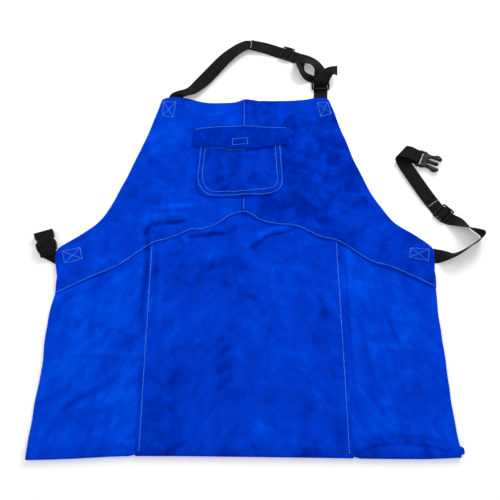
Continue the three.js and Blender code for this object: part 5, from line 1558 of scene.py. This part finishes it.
class APRON_OT_stage(bpy.types.Operator):
    """Lays the pale table and sets the camera and the soft studio light"""
    bl_idname = "apron.stage"
    bl_label = "Stage"

    def execute(self, context):
        scene = context.scene
        scene.view_settings.view_transform = "Standard"
        bpy.ops.object.select_all(action="DESELECT")
        bpy.ops.mesh.primitive_plane_add(size=12, location=(0, 0, 0))
        floor = context.object
        floor.name = "table"
        paper = bpy.data.materials.new("table_white")
        paper.use_nodes = True
        shader = paper.node_tree.nodes["Principled BSDF"]
        for socket, value in {
            "Base Color": (0.95, 0.95, 0.95, 1), "Emission Color": (1, 1, 1, 1), "Emission Strength": 0.2,
            "Roughness": 0.9, "Specular IOR Level": 0.1,
        }.items():
            shader.inputs[socket].default_value = value
        floor.data.materials.append(paper)

        target = Vector(to_frame([(VIEW_CENTRE_X, 0, 0)])[0])
        tilt = math.radians(CAMERA_TILT)
        camera = bpy.data.objects.new("camera", bpy.data.cameras.new("camera"))
        scene.collection.objects.link(camera)
        camera.data.lens = CAMERA_LENS
        camera.data.sensor_width = 36
        camera.data.clip_end = 50
        camera.location = target + CAMERA_DISTANCE * MM * Vector((0, -math.cos(tilt), math.sin(tilt)))
        camera.rotation_euler = (math.pi / 2 - tilt, 0, 0)
        scene.camera = camera

        world = bpy.data.worlds.new("studio")
        world.use_nodes = True
        sky = world.node_tree.nodes["Background"].inputs
        sky["Color"].default_value = (1, 1, 1, 1)
        sky["Strength"].default_value = 0.66
        scene.world = world
        for name, place, size, power in (
            ("far_softbox", (0.7, 1.3, 1.05), 0.7, 15),
            ("left_softbox", (-1.5, 0.3, 1.5), 1.2, 3),
        ):
            light = bpy.data.objects.new(name, bpy.data.lights.new(name, "AREA"))
            scene.collection.objects.link(light)
            light.data.size = size
            light.data.energy = power
            light.location = target + Vector(place)
            light.rotation_euler = (target - light.location).to_track_quat("-Z", "Y").to_euler()
        return {"FINISHED"}


class APRON_OT_skirt(bpy.types.Operator):
    """Makes the three skirt panels, folded under at the bottom"""
    bl_idname = "apron.skirt"
    bl_label = "Skirt"

    def execute(self, context):
        skirt_panel("skirt_left", LEFT_EDGE, LEFT_SEAM + SEAM_LAP, False)
        skirt_panel("skirt_center", LEFT_SEAM, RIGHT_SEAM, True)
        skirt_panel("skirt_right", RIGHT_SEAM - SEAM_LAP, RIGHT_EDGE, False)
        return {"FINISHED"}


class APRON_OT_bib(bpy.types.Operator):
    """Makes the two bib panels"""
    bl_idname = "apron.bib"
    bl_label = "Bib"

    def execute(self, context):
        bib_panel("bib_left", LEFT_EDGE, BIB_LAP_END, False)
        bib_panel("bib_right", BIB_SEAM, RIGHT_EDGE, True)
        return {"FINISHED"}


class APRON_OT_pocket(bpy.types.Operator):
    """Makes the chest pocket and its flap"""
    bl_idname = "apron.pocket"
    bl_label = "Pocket"

    def execute(self, context):
        pocket_piece()
        flap_piece()
        return {"FINISHED"}


class APRON_OT_straps(bpy.types.Operator):
    """Makes the webbing straps and tabs"""
    bl_idname = "apron.straps"
    bl_label = "Straps"

    def execute(self, context):
        webbing_piece("neck_strap", neck_strap_sections())
        webbing_piece("neck_strap_tab", placed(NECK_TAB, NECK_RIGHT, WEBBING_WIDTH, NECK_REACH))
        webbing_piece("waist_strap", waist_strap_sections())
        webbing_piece("buckle_tab", buckle_tab_sections())
        return {"FINISHED"}


class APRON_OT_hardware(bpy.types.Operator):
    """Makes the sliders, the ring and both halves of the waist buckle"""
    bl_idname = "apron.hardware"
    bl_label = "Hardware"

    def execute(self, context):
        slider_piece("neck_slider", NECK_SLIDER)
        slider_piece("waist_slider", WAIST_SLIDER)
        ring_piece()
        male_buckle_piece()
        female_buckle_piece()
        return {"FINISHED"}


class APRON_OT_sewing(bpy.types.Operator):
    """Sews the seams, the pocket and the webbing's ends"""
    bl_idname = "apron.sewing"
    bl_label = "Sewing"

    def execute(self, context):
        panels = ("skirt_left", "skirt_center", "skirt_right", "bib_left", "bib_right")
        leather = [f"{name}_leather" for name in panels]
        boxes = [line for corners in CROSSED_BOXES for line in crossed_box(corners)]
        pocket = [
            lowered(smooth_line(line), POCKET_DROP)
            for line in (POCKET_OUTER_STITCH, POCKET_INNER_STITCH, POCKET_TOP_STITCH)]
        flap = [lowered(line, FLAP_DROP) for line in (smooth_line(FLAP_STITCH), FLAP_PATCH)]
        for name, lines, surfaces in (
            ("seam_stitches", seam_lines(), leather),
            ("webbing_end_stitches", boxes, leather),
            ("pocket_stitches", pocket, ["pocket_leather"]),
            ("flap_stitches", flap, ["pocket_flap_leather"]),
        ):
            stitched(name, lines, surfaces, "seam_thread")
        return {"FINISHED"}


class APRON_OT_strap_marks(bpy.types.Operator):
    """Sews the pale lines across the waist and neck straps and the dark one across the neck tab"""
    bl_idname = "apron.strap_marks"
    bl_label = "Strap stitches"

    def execute(self, context):
        mark = WAIST_RIGHT + Vector((0.165 * WAIST_OUT, 0.452 * WAIST_RISE))
        tail = NECK_LEFT + Vector((0.527 * NECK_SPAN, 1.03 * NECK_REACH))
        tab = NECK_RIGHT + Vector((0.08 * WEBBING_WIDTH, 0.2 * NECK_REACH))
        for name, point, heading, half, strap, thread in (
            ("waist_mark_stitches", mark, 127, 11, "waist_strap", "strap_thread"),
            ("neck_tail_stitches", tail, -6, 10.5, "neck_strap", "strap_thread"),
            ("neck_tab_stitches", tab, 90, 11, "neck_strap_tab", "dark_thread"),
        ):
            stitched(name, [band_line(point, heading, half)], [f"{strap}_webbing"], thread)
        return {"FINISHED"}


class APRON_PT_panel(bpy.types.Panel):
    """Lists the apron's sizes, colours and pieces"""
    bl_idname = "APRON_PT_panel"
    bl_label = "Work apron"
    bl_space_type = "VIEW_3D"
    bl_region_type = "UI"
    bl_category = "Apron"

    def draw(self, context):
        for group in (context.scene.apron_sizes, context.scene.apron_colours):
            box = self.layout.box()
            for name in group.bl_rna.properties.keys():
                if name not in ("rna_type", "name"):
                    box.prop(group, name)
        for operator in OPERATORS:
            self.layout.operator(operator.bl_idname)


OPERATORS = (
    APRON_OT_materials, APRON_OT_stage, APRON_OT_skirt, APRON_OT_bib, APRON_OT_pocket,
    APRON_OT_straps, APRON_OT_hardware, APRON_OT_sewing, APRON_OT_strap_marks,
)
CLASSES = (ApronSizes, ApronColours, *OPERATORS, APRON_PT_panel)


def register():
    for cls in CLASSES:
        bpy.utils.register_class(cls)
    bpy.types.Scene.apron_sizes = PointerProperty(type=ApronSizes)
    bpy.types.Scene.apron_colours = PointerProperty(type=ApronColours)


def unregister():
    del bpy.types.Scene.apron_colours
    del bpy.types.Scene.apron_sizes
    for cls in reversed(CLASSES):
        bpy.utils.unregister_class(cls)


def main():
    register()
    bpy.ops.apron.materials()
    bpy.ops.apron.stage()
    bpy.ops.apron.skirt()
    bpy.ops.apron.bib()
    bpy.ops.apron.pocket()
    bpy.ops.apron.straps()
    bpy.ops.apron.hardware()
    bpy.ops.apron.sewing()
    bpy.ops.apron.strap_marks()


if __name__ == "__main__":
    main()
